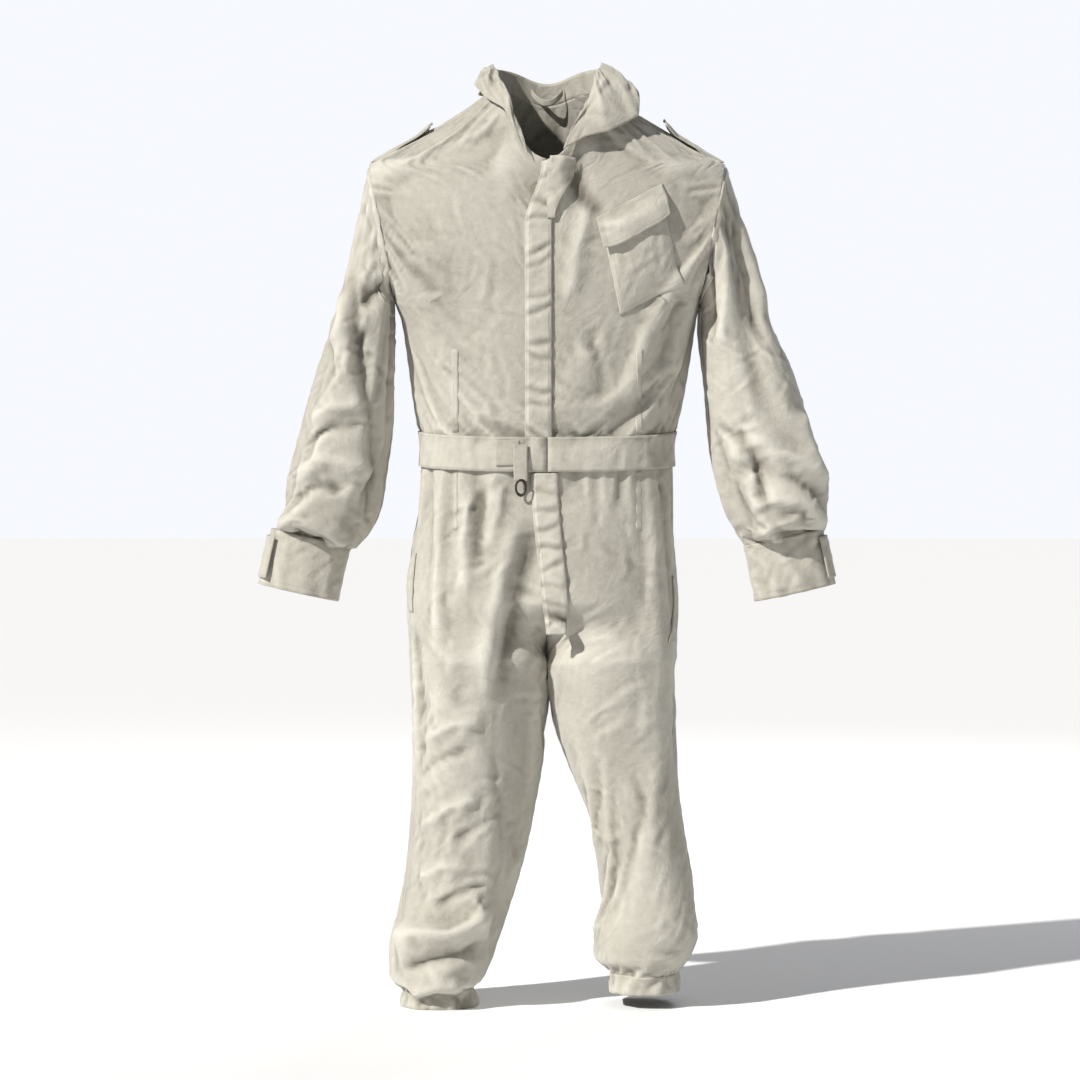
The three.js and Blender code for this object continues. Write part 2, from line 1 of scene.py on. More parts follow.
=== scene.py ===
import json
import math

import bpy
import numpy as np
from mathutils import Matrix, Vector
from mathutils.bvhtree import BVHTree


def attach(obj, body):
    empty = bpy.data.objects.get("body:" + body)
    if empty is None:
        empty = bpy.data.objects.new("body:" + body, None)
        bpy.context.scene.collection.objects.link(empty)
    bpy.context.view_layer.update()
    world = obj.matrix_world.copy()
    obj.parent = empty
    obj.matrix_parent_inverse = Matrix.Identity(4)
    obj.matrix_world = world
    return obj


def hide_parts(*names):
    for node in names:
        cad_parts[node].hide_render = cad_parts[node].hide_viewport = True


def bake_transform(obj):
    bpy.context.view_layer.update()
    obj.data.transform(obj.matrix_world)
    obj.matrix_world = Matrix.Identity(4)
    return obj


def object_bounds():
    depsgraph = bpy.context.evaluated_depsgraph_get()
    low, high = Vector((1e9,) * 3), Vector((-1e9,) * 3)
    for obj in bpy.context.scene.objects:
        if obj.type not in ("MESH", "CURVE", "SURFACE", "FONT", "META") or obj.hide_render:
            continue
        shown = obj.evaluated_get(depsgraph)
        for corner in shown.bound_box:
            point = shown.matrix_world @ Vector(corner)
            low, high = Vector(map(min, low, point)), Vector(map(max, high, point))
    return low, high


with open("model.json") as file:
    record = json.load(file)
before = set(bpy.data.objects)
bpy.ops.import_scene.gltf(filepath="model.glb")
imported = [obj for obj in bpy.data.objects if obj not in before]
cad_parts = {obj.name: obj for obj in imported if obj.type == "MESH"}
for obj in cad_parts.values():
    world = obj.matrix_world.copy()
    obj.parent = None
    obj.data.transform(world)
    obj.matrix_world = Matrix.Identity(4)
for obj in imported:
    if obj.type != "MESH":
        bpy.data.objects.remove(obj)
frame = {"nodes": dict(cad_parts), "record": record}

# %% [markdown]
# # A beekeeper's boiler suit
# The suit is one garment of cotton drill: a shirt-like top and trousers joined by a
# waistband. The frame's solids hold its size and its moving parts. Here each panel is
# laid out as a fine sheet over the same body, folded, settled as cloth, and finished
# with bands, pockets, buttons and stitching. Lengths are in metres, +Z is up, and the
# front faces -Y.

cad_box = [list(corner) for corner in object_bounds()]
nodes = frame["nodes"]
mm = 0.001
quarter = math.pi / 2
sides = {"right": -1, "left": 1}
print("frame box", [[round(x, 3) for x in corner] for corner in cad_box])

# %% [markdown]
# A tailor describes a body by a few girths and drops. A smooth curve through a few
# rows gives every height between them, and it never overshoots, so a waist stays a
# waist. Each row is a drop below the nape and then the sizes there, in millimetres.


# %% Smooth curves through a tailor's rows
def through(rows):
    table = np.array(rows, float) * mm
    drops, sizes = table[:, 0], table[:, 1:]
    slopes = np.diff(sizes, axis=0) / np.diff(drops)[:, None]
    bends = np.zeros_like(sizes)
    bends[0], bends[-1] = slopes[0], slopes[-1]
    before, after = slopes[:-1], slopes[1:]
    total = np.where(before + after == 0, 1, before + after)
    bends[1:-1] = np.where(before * after > 0, 2 * before * after / total, 0)

    def sizes_at(drop):
        drop = np.clip(np.asarray(drop, float), drops[0], drops[-1])
        i = np.clip(np.searchsorted(drops, drop, side="right") - 1, 0, len(drops) - 2)
        span = drops[i + 1] - drops[i]
        k = ((drop - drops[i]) / span)[..., None]
        ease = k * k * (3 - 2 * k)
        start, end = sizes[i], sizes[i + 1]
        lean = bends[i] * k * (1 - k) ** 2 - bends[i + 1] * k * k * (1 - k)
        return np.moveaxis(start + (end - start) * ease + lean * span[..., None], -1, 0)

    return sizes_at


def smooth(x, low, high):
    k = np.clip((np.asarray(x, float) - low) / (high - low), 0, 1)
    return k * k * (3 - 2 * k)


def mix(a, b, k):
    return a + (b - a) * k


def bend_through(a, b, c, d, k):
    """A smooth curve from b, at k = 0, to c, at k = 1, that also heeds a and d."""
    slope, bow, twist = c - a, 2 * a - 5 * b + 4 * c - d, 3 * b - a - 3 * c + d
    return 0.5 * (2 * b + slope * k + bow * k**2 + twist * k**3)


# %% [markdown]
# The body under the suit: the trunk is a rounded box section at every height, wider
# or deeper by row. The wearer's right and left halves differ a little, as they do on
# any suit that hangs. Legs and sleeves are oval sections given by their outer and
# inner edges.

# %% The body's measurements
# Trunk rows: drop, half width right, half width left, depth in front, depth behind.
trunk = through([
    (-30, 60, 60, 62, 62), (-10, 92, 92, 70, 70), (101, 274, 274, 114, 112),
    (150, 300, 300, 126, 122), (205, 304, 304, 134, 128), (262, 282, 282, 138, 132),
    (310, 237, 237, 140, 134), (350, 217, 222, 139, 132), (390, 208, 216, 137, 128),
    (465, 200, 206, 130, 120), (540, 194, 194, 121, 115), (600, 203, 200, 129, 130),
    (690, 222, 210, 138, 140), (780, 230, 216, 143, 144), (900, 232, 214, 143, 144),
])
# Leg rows: drop, outer edge, inner edge, half depth, distance forward.
leg_rows = {
    "right": through([
        (862, 228, 0, 138, 0), (900, 226, 5, 130, 0), (961, 221, 12, 119, 0),
        (1010, 216, 16, 110, 0), (1085, 211, 27, 101, 2), (1163, 212, 42, 94, 4),
        (1209, 216, 55, 92, 5), (1262, 229, 72, 94, 6), (1310, 250, 86, 97, 8),
        (1345, 244, 97, 90, 6), (1372, 231, 104, 80, 4), (1402, 228, 106, 77, 2),
    ]),
    "left": through([
        (862, 214, 0, 138, 0), (900, 206, 8, 130, 0), (961, 195, 20, 118, 0),
        (1010, 192, 37, 108, 0), (1085, 197, 64, 99, 2), (1130, 205, 74, 95, 3),
        (1178, 217, 81, 92, 4), (1225, 227, 83, 92, 5), (1279, 233, 74, 95, 7),
        (1315, 224, 70, 90, 6), (1345, 208, 88, 80, 4), (1380, 204, 96, 77, 2),
    ]),
}
hem_drop = {"right": 1.402, "left": 1.380}
# Sleeve rows: drop of the middle, outer edge, inner edge, half depth.
sleeve_rows = {
    "right": [
        (345, 340, 230, 78), (430, 370, 230, 80), (512, 392, 235, 78),
        (600, 415, 250, 76), (648, 418, 272, 66), (684, 424, 304, 42),
    ],
    "left": [
        (345, 352, 232, 78), (430, 392, 238, 82), (527, 422, 246, 80),
        (605, 445, 268, 78), (648, 441, 295, 64), (684, 430, 312, 42),
    ],
}
shoulder = (0.274, 0.101)  # half width, drop
armpit = (0.236, 0.310)
arm_tilt = math.radians(12.5)
top_ring_tilt, above_elbow = 1.4, 400  # the sleeve's top ring leans more, towards the armhole
cuff_half = (0.060, 0.040)
cuff_height = 0.088
waist_drop, waist_dip = 0.540, 0.009
crotch_drop, fly_end = 0.862, 0.770
neck_half, neck_front, neck_back = 0.088, 0.114, 0.076
power = 2 / 2.4  # rounds the corners of each section
nearly_one = 0.9999  # keeps a share just inside the edge of its formula


def rounded(value):
    return np.sign(value) * np.abs(value) ** power


# %% [markdown]
# Each part of the body is a formula from two numbers to a place. `turn` goes round
# the trunk from the centre front, over the wearer's left side, to the centre back.
# A formula is handy twice: the big panels are laid on it, and so is each small piece
# that lies on them, such as the placket or a pocket.


# %% The body's surface
def trunk_point(turn, z):
    right, left, front, back = trunk(-np.asarray(z))
    s, c = np.sin(turn), np.cos(turn)
    x = np.where(s < 0, right, left) * rounded(s)
    y = -np.where(c > 0, front, back) * rounded(c)
    return np.stack([x, y, np.broadcast_to(z, x.shape)], -1)


def front_point(x, z, behind=False):
    x, z = np.broadcast_arrays(np.asarray(x, float), np.asarray(z, float))
    right, left, front, back = trunk(-z)
    share = np.minimum(np.abs(x) / np.where(x < 0, right, left), nearly_one)
    depth = (1 - share ** (2 / power)) ** (power / 2)
    y = back * depth if behind else -front * depth
    return np.stack([x, y, z], -1)


def armhole_x(z):
    k = (-np.asarray(z) - shoulder[1]) / (armpit[1] - shoulder[1])
    return mix(shoulder[0], armpit[0], k)


def edge_turn(z, side):
    z = np.asarray(z, float)
    right, left, _, _ = trunk(-z)
    share = np.clip(armhole_x(z) / (right if side < 0 else left), 0, 1)
    cut = np.arcsin(share ** (1 / power))
    return np.where((-z > shoulder[1]) & (-z < armpit[1]), cut, quarter)


def neck_point(turn):
    turn = np.asarray(turn, float)
    reach = np.where(np.cos(turn) > 0, neck_front, neck_back)
    low, high = np.full(turn.shape, -0.025), np.full(turn.shape, 0.26)  # drops to search
    for _ in range(30):
        middle = (low + high) / 2
        p = trunk_point(turn, -middle)
        outside = (p[..., 0] / neck_half) ** 2 + (p[..., 1] / reach) ** 2 > 1
        low, high = np.where(outside, low, middle), np.where(outside, middle, high)
    return trunk_point(turn, -(low + high) / 2)


def waist_line(turn):
    return -waist_drop - waist_dip * np.cos(turn)


def trouser_point(name, face, share, z):
    """share runs from the outseam, 0, to the centre line or the inseam, 1."""
    side = sides[name]
    share, z = np.broadcast_arrays(np.asarray(share, float), np.asarray(z, float))
    right, left, front, back = trunk(-z)
    width, depth = (right if side < 0 else left), (front if face < 0 else back)
    angle = share * quarter
    across, forward = rounded(np.cos(angle)), rounded(np.sin(angle))
    hip = np.stack([side * width * across, face * depth * forward, z], -1)
    outer, inner, deep, ahead = leg_rows[name](np.maximum(-z, crotch_drop))
    turn = share * math.pi
    x = side * ((outer + inner) / 2 + (outer - inner) / 2 * rounded(np.cos(turn)))
    leg = np.stack([x, face * deep * rounded(np.sin(turn)) - ahead, z], -1)
    weight = smooth(-z, fly_end, crotch_drop)[..., None]
    return hip + (leg - hip) * weight


def sleeve_rings(name, turn):
    """The sleeve's rings from armhole to cuff, as a list of points for each turn."""
    side = sides[name]
    rings = []
    for drop, outer, inner, depth in sleeve_rows[name]:
        tilt = arm_tilt * (top_ring_tilt if drop < above_elbow else 1)
        half = (outer - inner) / 2 * mm / math.cos(tilt)
        across = half * rounded(np.sin(turn))
        x = side * (outer + inner) / 2 * mm + across * math.cos(tilt)
        z = -drop * mm + side * across * math.sin(tilt)
        rings.append(np.stack([x, -depth * mm * rounded(np.cos(turn)), z], -1))
    middle, half = -(shoulder[1] + armpit[1]) / 2, (armpit[1] - shoulder[1]) / 2
    z = middle + side * half * np.sin(turn) * nearly_one
    right, left, front, back = trunk(-z)
    wide, deep = (right if side < 0 else left), np.where(np.cos(turn) > 0, front, back)
    edge = np.arcsin(np.clip(armhole_x(z) / wide, 0, 1) ** (1 / power))
    y = -np.sign(np.cos(turn)) * deep * rounded(np.cos(edge))
    rings.append(np.stack([side * armhole_x(z), y, z], -1))
    return [rings[-1]] + rings[:-1]


def sleeve_point(name, turn, v):
    """v is 0 at the cuff and 1 at the armhole."""
    rings = np.stack(sleeve_rings(name, turn))[::-1]
    last = len(rings) - 1
    s = np.clip(np.asarray(v, float), 0, 1) * last
    i = np.minimum(s.astype(int), last - 1)
    k = (s - i)[..., None]

    def ring(j):
        return np.take_along_axis(rings, np.clip(j, 0, last)[None, ..., None], 0)[0]

    a, b, c, d = ring(i - 1), ring(i), ring(i + 1), ring(i + 2)
    return bend_through(a, b, c, d, k)


# %% [markdown]
# A panel is a sheet of small quads. It starts as a grid primitive, as a cutter's flat
# piece of cloth does, and its corners are then laid on the body's surface. The grid's
# rows and columns are kept, because every seam and stitch line later follows them.


# %% Laying a flat grid on the body
def flat_grid(name, columns, rows):
    bpy.ops.object.select_all(action="DESELECT")
    bpy.ops.mesh.primitive_grid_add(x_subdivisions=columns, y_subdivisions=rows, size=1)
    piece = bpy.context.object
    piece.name = piece.data.name = name
    return piece


def lay_out(name, points):
    """A grid object whose corners are the points array, rows first."""
    rows, columns = points.shape[0] - 1, points.shape[1] - 1
    piece = flat_grid(name, columns, rows)
    piece.data.vertices.foreach_set("co", points.reshape(-1, 3).astype(np.float32).ravel())
    piece.data.update()
    return piece


def normals_of(points):
    du = np.gradient(points, axis=1)
    dv = np.gradient(points, axis=0)
    n = np.cross(du, dv)
    return n / np.maximum(np.linalg.norm(n, axis=-1, keepdims=True), 1e-12)


# %% [markdown]
# The big panels. Bodice rows are spread so that one row falls on the armpit and one
# on the shoulder tip. Trouser panels run from the waistband to the hem in one length,
# front and back, right and left.

# %% The big panels as grids of points
cell = 0.0075
leg_rows_share = 0.62  # of a trouser panel's rows, the share below the crotch


def bodice_rows(count):
    """Shares of a panel's height, with rows on the armpit and the shoulder tip."""
    neck_side = -float(neck_point(np.array(quarter))[2])
    marks = np.array([waist_drop, armpit[1], shoulder[1], neck_side])
    shares = (waist_drop - marks) / (waist_drop - neck_side)
    steps = np.maximum(np.round(np.diff(shares) * count), 2).astype(int)
    parts = [np.linspace(shares[i], shares[i + 1], steps[i] + 1)[:-1] for i in range(3)]
    return np.concatenate(parts + [[1.0]])


rise = bodice_rows(0.56 / cell)


def bodice_panel(side, face, columns):
    """side -1 or 1; face -1 front, 1 back; columns run from the centre to the side."""
    out = np.linspace(0, 1, columns + 1)[None, :]
    full = side * out * quarter if face < 0 else math.pi - side * out * quarter
    bottom, top = waist_line(full), neck_point(full)[..., 2]
    z = mix(bottom, top, rise[:, None])
    edge = edge_turn(z, side)
    turn = side * out * edge if face < 0 else math.pi - side * out * edge
    return trunk_point(turn, z)


def trouser_panel(name, face, columns, rows):
    share = (1 - np.cos(np.pi * np.linspace(0, 1, columns + 1))) / 2
    share = mix(share, np.linspace(0, 1, columns + 1), 0.5)[None, :]
    leg_part = round(rows * leg_rows_share)
    leg = np.linspace(-hem_drop[name], -crotch_drop, leg_part + 1)[:-1]
    hip = np.linspace(-crotch_drop, -waist_drop, rows - leg_part + 1)
    level = np.concatenate([leg, hip])[:, None]
    rise_share = (level + crotch_drop) / (crotch_drop - waist_drop)
    dip = face * waist_dip * np.sin(share * quarter) * rise_share
    return trouser_point(name, face, share, level + np.where(level > -crotch_drop, dip, 0))


def sleeve_panel(name, columns, rows):
    underarm = -sides[name] * quarter
    turn = np.linspace(underarm, underarm + 4 * quarter, columns + 1)[None, :]
    v = np.linspace(0, 1, rows + 1)[:, None]
    return sleeve_point(name, *np.broadcast_arrays(turn, v))


half_columns = int(0.29 / cell)
leg_rows_count = int(0.85 / cell)
sleeve_columns, sleeve_rows_count = int(0.44 / cell) // 2 * 2, int(0.58 / cell)
panels = {}
for name, side in sides.items():
    panels[f"bodice_front_{name}"] = bodice_panel(side, -1, half_columns)
    panels[f"bodice_back_{name}"] = bodice_panel(side, 1, half_columns)
    panels[f"trouser_front_{name}"] = trouser_panel(name, -1, half_columns, leg_rows_count)
    panels[f"trouser_back_{name}"] = trouser_panel(name, 1, half_columns, leg_rows_count)
    panels[f"sleeve_{name}"] = sleeve_panel(name, sleeve_columns, sleeve_rows_count)
base_panels = {name: points.copy() for name, points in panels.items()}
print({name: points.shape[:2] for name, points in panels.items()})

# %% [markdown]
# Worn cotton keeps the folds that the body's joints press into it. Each big fold is a
# line drawn on the front of the suit: a height, positive for a ridge and negative for
# a hollow, a width, and its points as (sideways, drop) in millimetres. Smaller folds
# come later, from the cloth's own buckling. The alternative, sculpting by hand, can't be
# changed afterwards by editing a number.

# %% The big folds, drawn one by one
folds = {
    "sleeve_right": [
        (-15, 13, [(-232, 292), (-262, 300), (-290, 316)]),
        (-13, 15, [(-303, 262), (-292, 340), (-283, 420), (-262, 520), (-250, 612)]),
        (10, 16, [(-318, 285), (-312, 360), (-306, 430)]),
        (9, 13, [(-345, 380), (-310, 352), (-270, 340)]),
        (9, 14, [(-385, 500), (-330, 474), (-262, 470)]),
        (-8, 11, [(-392, 530), (-335, 505), (-270, 498)]),
        (10, 14, [(-405, 585), (-350, 552), (-290, 562), (-252, 590)]),
        (-9, 11, [(-410, 622), (-352, 590), (-300, 600)]),
        (15, 15, [(-424, 664), (-384, 640), (-330, 662), (-300, 690)]),
        (-13, 11, [(-420, 688), (-380, 668), (-335, 688)]),
    ],
    "sleeve_left": [
        (-13, 14, [(272, 150), (296, 235), (322, 330), (334, 390)]),
        (10, 13, [(290, 160), (320, 250), (345, 340)]),
        (-14, 13, [(252, 215), (256, 300), (248, 372)]),
        (9, 13, [(268, 200), (274, 300), (270, 400)]),
        (9, 14, [(262, 560), (330, 530), (392, 556), (440, 600)]),
        (-9, 12, [(268, 590), (330, 562), (395, 586), (446, 634)]),
        (10, 13, [(300, 640), (345, 610), (400, 616), (438, 648)]),
        (-9, 11, [(240, 500), (300, 520), (330, 570), (345, 640)]),
        (9, 13, [(392, 470), (405, 540), (440, 606)]),
        (14, 14, [(442, 654), (400, 640), (345, 650), (318, 684)]),
        (-12, 10, [(436, 680), (396, 664), (352, 676)]),
    ],
    "trouser_right": [
        (-12, 20, [(-6, 640), (-36, 720), (-58, 820), (-72, 930)]),
        (10, 20, [(-40, 622), (-66, 720), (-92, 830), (-100, 930)]),
        (7, 12, [(-120, 590), (-134, 680), (-130, 780)]),
        (-7, 10, [(-100, 590), (-112, 660), (-112, 730)]),
        (7, 12, [(-70, 590), (-84, 650), (-92, 700)]),
        (-14, 13, [(-228, 800), (-222, 880), (-210, 965)]),
        (6, 8, [(-206, 985), (-150, 958), (-96, 950)]),
        (-6, 8, [(-212, 1040), (-160, 1004), (-110, 990)]),
        (7, 9, [(-205, 1120), (-160, 1086), (-100, 1062)]),
        (-6, 8, [(-150, 1136), (-104, 1104), (-52, 1090)]),
        (6, 9, [(-206, 1196), (-160, 1172), (-116, 1168)]),
        (-6, 8, [(-176, 1236), (-130, 1208), (-84, 1196)]),
        (18, 17, [(-250, 1300), (-205, 1276), (-140, 1270), (-70, 1232)]),
        (-15, 12, [(-236, 1334), (-170, 1308), (-110, 1296), (-84, 1270)]),
        (10, 14, [(-210, 1372), (-170, 1350), (-124, 1350)]),
    ],
    "trouser_left": [
        (8, 13, [(60, 590), (72, 690), (78, 790)]),
        (-7, 11, [(90, 590), (106, 680), (112, 770)]),
        (7, 12, [(130, 590), (146, 680), (150, 760)]),
        (-10, 14, [(20, 900), (46, 990), (74, 1080)]),
        (9, 14, [(60, 880), (110, 960), (160, 1040)]),
        (-14, 13, [(186, 1070), (204, 1140), (214, 1225)]),
        (9, 14, [(170, 1060), (182, 1140), (190, 1220)]),
        (9, 12, [(80, 1215), (120, 1232), (150, 1262)]),
        (-10, 11, [(82, 1240), (118, 1256), (142, 1286)]),
        (8, 12, [(100, 1090), (130, 1130), (150, 1190)]),
        (14, 15, [(72, 1300), (100, 1275), (150, 1300), (232, 1290)]),
        (-13, 12, [(84, 1330), (130, 1316), (180, 1336), (222, 1322)]),
        (9, 12, [(100, 1358), (140, 1348), (190, 1352)]),
    ],
    "bodice_front_right": [
        (5, 14, [(-180, 130), (-110, 160), (-40, 180)]),
        (-5, 14, [(-190, 190), (-120, 205), (-60, 230)]),
        (6, 12, [(-196, 330), (-150, 400), (-120, 470)]),
        (-6, 12, [(-70, 300), (-50, 380), (-44, 460)]),
        (5, 12, [(-150, 420), (-140, 470), (-140, 505)]),
    ],
    "bodice_front_left": [
        (-8, 14, [(34, 105), (60, 160), (90, 190)]),
        (7, 13, [(70, 150), (44, 240), (30, 330)]),
        (6, 12, [(150, 330), (140, 400), (120, 480)]),
        (-6, 12, [(60, 340), (80, 410), (84, 480)]),
        (7, 12, [(226, 300), (200, 360), (190, 440)]),
        (-7, 12, [(208, 290), (182, 350), (172, 430)]),
    ],
}


def line_distance(x, drop, line):
    """Distance to a hand-drawn line, and how far inside its ends the nearest place is."""
    best = np.full(x.shape, np.inf)
    inside = np.zeros(x.shape)
    line = np.array(line, float) * mm
    lengths = np.linalg.norm(np.diff(line, axis=0), axis=1)
    total = lengths.sum()
    run = 0.0
    for (ax, az), (bx, bz), length in zip(line[:-1], line[1:], lengths):
        k = np.clip(((x - ax) * (bx - ax) + (drop - az) * (bz - az)) / length**2, 0, 1)
        d = np.hypot(x - ax - k * (bx - ax), drop - az - k * (bz - az))
        along = (run + k * length) / total
        inside = np.where(d < best, np.minimum(along, 1 - along), inside)
        best = np.minimum(best, d)
        run += length
    return best, inside


def press_folds(points, strokes, face=-1, sharp=0.55, strength=1.2):
    """Moves points along their normals, on the side that faces the given way.

    sharp is the share of a fold that comes to a crest; the rest is round.
    """
    normals = normals_of(points)
    facing = smooth(face * normals[..., 1], -0.15, 0.45)
    height = np.zeros(points.shape[:2])
    for tall, wide, line in strokes:
        distance, inside = line_distance(points[..., 0], -points[..., 2], line)
        fade = smooth(inside, 0, 0.22)
        k = distance / (wide * mm)
        crest, swell = np.exp(-1.6 * k) * (1 + 1.6 * k), np.exp(-k * k)
        height += strength * tall * mm * fade * (sharp * crest + (1 - sharp) * swell)
    return points + normals * (height * facing)[..., None]


for name in list(panels):
    key = name.replace("trouser_front", "trouser")
    if key in folds:
        panels[name] = press_folds(panels[name], folds[key])
print("folds in front", sum(len(strokes) for strokes in folds.values()))

# %% [markdown]
# Behind, nobody has drawn the folds, so a few are placed by rule: slanting drags
# under the arms and behind the knees, stacked rings above each hem and cuff.


# %% Folds on the back
def back_folds():
    strokes = {"bodice": [], "trouser": [], "sleeve": []}
    for k in range(4):
        line = [(205, 330 + 40 * k), (130, 350 + 34 * k), (60, 400 + 24 * k)]
        strokes["bodice"].append((5, 13, line))
    for k in range(6):
        line = [(205, 980 + 38 * k), (130, 1000 + 36 * k), (60, 985 + 38 * k)]
        strokes["trouser"].append((8 if k % 2 else -8, 13, line))
    strokes["trouser"] += [
        (9, 15, [(30, 860), (90, 880), (160, 850)]),
        (-9, 14, [(30, 900), (90, 920), (170, 880)]),
        (14, 15, [(240, 1270), (160, 1290), (80, 1262)]),
        (-12, 12, [(236, 1305), (160, 1322), (90, 1300)]),
    ]
    for k in range(5):
        line = [(410, 450 + 44 * k), (330, 430 + 46 * k), (250, 450 + 44 * k)]
        strokes["sleeve"].append((9 if k % 2 else -8, 13, line))
    return strokes


behind = back_folds()
for name in list(panels):
    if "front" in name:
        continue
    side = sides[name.split("_")[-1]]
    strokes = [
        (tall, wide, [(side * x, drop) for x, drop in line])
        for tall, wide, line in behind[name.split("_")[0]]
    ]
    panels[name] = press_folds(panels[name], strokes, face=1)
print("folds behind", {kind: len(strokes) for kind, strokes in behind.items()})

# %% [markdown]
# The panels are now sewn into one net: corners that coincide become one. The seams
# where other pieces will sit, such as the waist, neck, armholes, cuffs and hems, are
# pinned. The cloth is then let out by a few per cent and settled: it has nowhere to
# go but out of its plane, and it buckles into the small creases of washed cotton.


# %% Sewing the panels into one net
same_place = 20000  # corners nearer than a twentieth of a millimetre are one


def sew(names):
    """One mesh of all the named panels, and each panel's corner numbers in it."""
    found, places, numbers, faces = {}, [], {}, []
    for name in names:
        points, base = panels[name], base_panels[name]
        rows, columns = points.shape[:2]
        index = np.zeros((rows, columns), int)
        for r in range(rows):
            for c in range(columns):
                key = tuple(np.round(base[r, c] * same_place).astype(int))
                if key not in found:
                    found[key] = len(places)
                    places.append(points[r, c])
                index[r, c] = found[key]
        numbers[name] = index
        a, b, c, d = index[:-1, :-1], index[:-1, 1:], index[1:, 1:], index[1:, :-1]
        quads = np.stack([a, b, c, d], -1).reshape(-1, 4)
        faces += [list(q) for q in quads if len(set(q)) == 4]
    return np.array(places), numbers, faces


loosely_held, widest_let_out, farthest = 0.035, 0.14, 0.014


def settle(label, names, let_out, pinned, frames=24):
    """Settles the named panels as one cloth and writes the result back to them."""
    places, numbers, faces = sew(names)
    mesh = bpy.data.meshes.new(label)
    mesh.from_pydata(places.tolist(), [], faces)
    cloth = bpy.data.objects.new(label, mesh)
    bpy.context.collection.objects.link(cloth)
    pins = cloth.vertex_groups.new(name="pins")
    loose = cloth.vertex_groups.new(name="loose")
    weights = np.full(len(places), loosely_held)
    for name in names:
        weights[pinned(name, numbers[name]).ravel()] = 1
    for i, weight in enumerate(weights):
        pins.add([i], float(weight), "REPLACE")
    amount = let_out(places)
    for i, share in enumerate(amount):
        loose.add([i], float(share), "REPLACE")
    modifier = cloth.modifiers.new("Cloth", "CLOTH")
    settings = modifier.settings
    settings.quality = 5
    settings.mass = 0.2
    settings.tension_stiffness = settings.compression_stiffness = 12
    settings.shear_stiffness = 6
    settings.bending_stiffness = 0.12
    settings.tension_damping = settings.compression_damping = 8
    settings.air_damping = 3
    settings.vertex_group_mass = "pins"
    settings.pin_stiffness = 0.8
    settings.vertex_group_shrink = "loose"
    settings.shrink_min, settings.shrink_max = 0.0, -widest_let_out
    settings.use_pressure = False
    settings.effector_weights.gravity = 0.15
    modifier.collision_settings.use_collision = False
    modifier.collision_settings.use_self_collision = False
    modifier.point_cache.frame_start, modifier.point_cache.frame_end = 1, frames
    for frame_number in range(1, frames + 1):
        bpy.context.scene.frame_set(frame_number)
    graph = bpy.context.evaluated_depsgraph_get()
    settled = np.zeros(len(places) * 3)
    cloth.evaluated_get(graph).data.vertices.foreach_get("co", settled)
    settled = settled.reshape(-1, 3)
    move = settled - places
    far = np.linalg.norm(move, axis=1)
    move *= (np.minimum(far, farthest) / np.maximum(far, 1e-9))[:, None]
    places = places + move
    bpy.data.objects.remove(cloth)
    bpy.context.scene.frame_set(1)
    for name in names:
        panels[name] = places[numbers[name]]
    moved_mm = np.round([far.mean() / mm, far.max() / mm], 1)
    print(label, len(places), "corners, moved", moved_mm, "mm")


def end_pins(name, index):
    """The corners of a panel's lowest and highest rows."""
    return np.concatenate([index[0], index[-1]])


def bodice_pins(name, index):
    """The same, and those along the armhole."""
    z = base_panels[name][:, -1, 2]
    inside = (-z > shoulder[1] - mm) & (-z < armpit[1] + mm)
    return np.concatenate([end_pins(name, index), index[:, -1][inside]])


# %% [markdown]
# How far a cloth is let out decides how much it buckles. Sleeves and trouser ends are
# let out most, as their fullness is gathered into cuffs and hems; a chest hangs nearly
# smooth. Each function gives a share of the widest let-out for every corner.

# %% Settling the cloth
def let_out_bodice(places):
    drop, sideways = -places[:, 2], np.abs(places[:, 0])
    return 0.16 + 0.16 * smooth(drop, 0.30, 0.50) + 0.2 * smooth(sideways, 0.15, 0.23)


def let_out_sleeve(places):
    return 0.35 + 0.45 * smooth(-places[:, 2], 0.35, 0.66)


def let_out_trouser(places):
    drop = -places[:, 2]
    return 0.22 + 0.2 * smooth(drop, 0.9, 1.2) + 0.4 * smooth(drop, 1.2, 1.36)


settle("bodice", [n for n in panels if n.startswith("bodice")], let_out_bodice, bodice_pins)
settle("trousers", [n for n in panels if n.startswith("trouser")], let_out_trouser, end_pins)
for name in sides:
    settle(f"sleeve_{name}", [f"sleeve_{name}"], let_out_sleeve, end_pins)

# %% [markdown]
# Cotton drill: a twill weave, so its fine ribs run on the slant. The colour is stone,
# never quite even, with faint blotches from washing. Light and shade are also painted
# into it: ridges of folds and creases are painted paler, partly rubbed wear and partly
# painted highlight, and hollows are painted darker, which is painted shade. The ribs
# follow each panel's own flat layout, so they turn with the cloth; the blotches use
# the object's own coordinates. Three bumps, from fine ribs to puckers, add what is too
# small for the mesh.


# %% The cotton's finish
def node_maker(material):
    tree = material.node_tree

    def make(kind, **settings):
        node = tree.nodes.new(kind)
        for key, value in settings.items():
            if key.startswith("in_"):
                node.inputs[int(key[3:])].default_value = value
            else:
                setattr(node, key, value)
        return node

    return tree, make


def ramp(node, stops):
    while len(node.color_ramp.elements) < len(stops):
        node.color_ramp.elements.new(0.5)
    for element, (place, color) in zip(node.color_ramp.elements, stops):
        element.position = place
        element.color = (*color, 1)


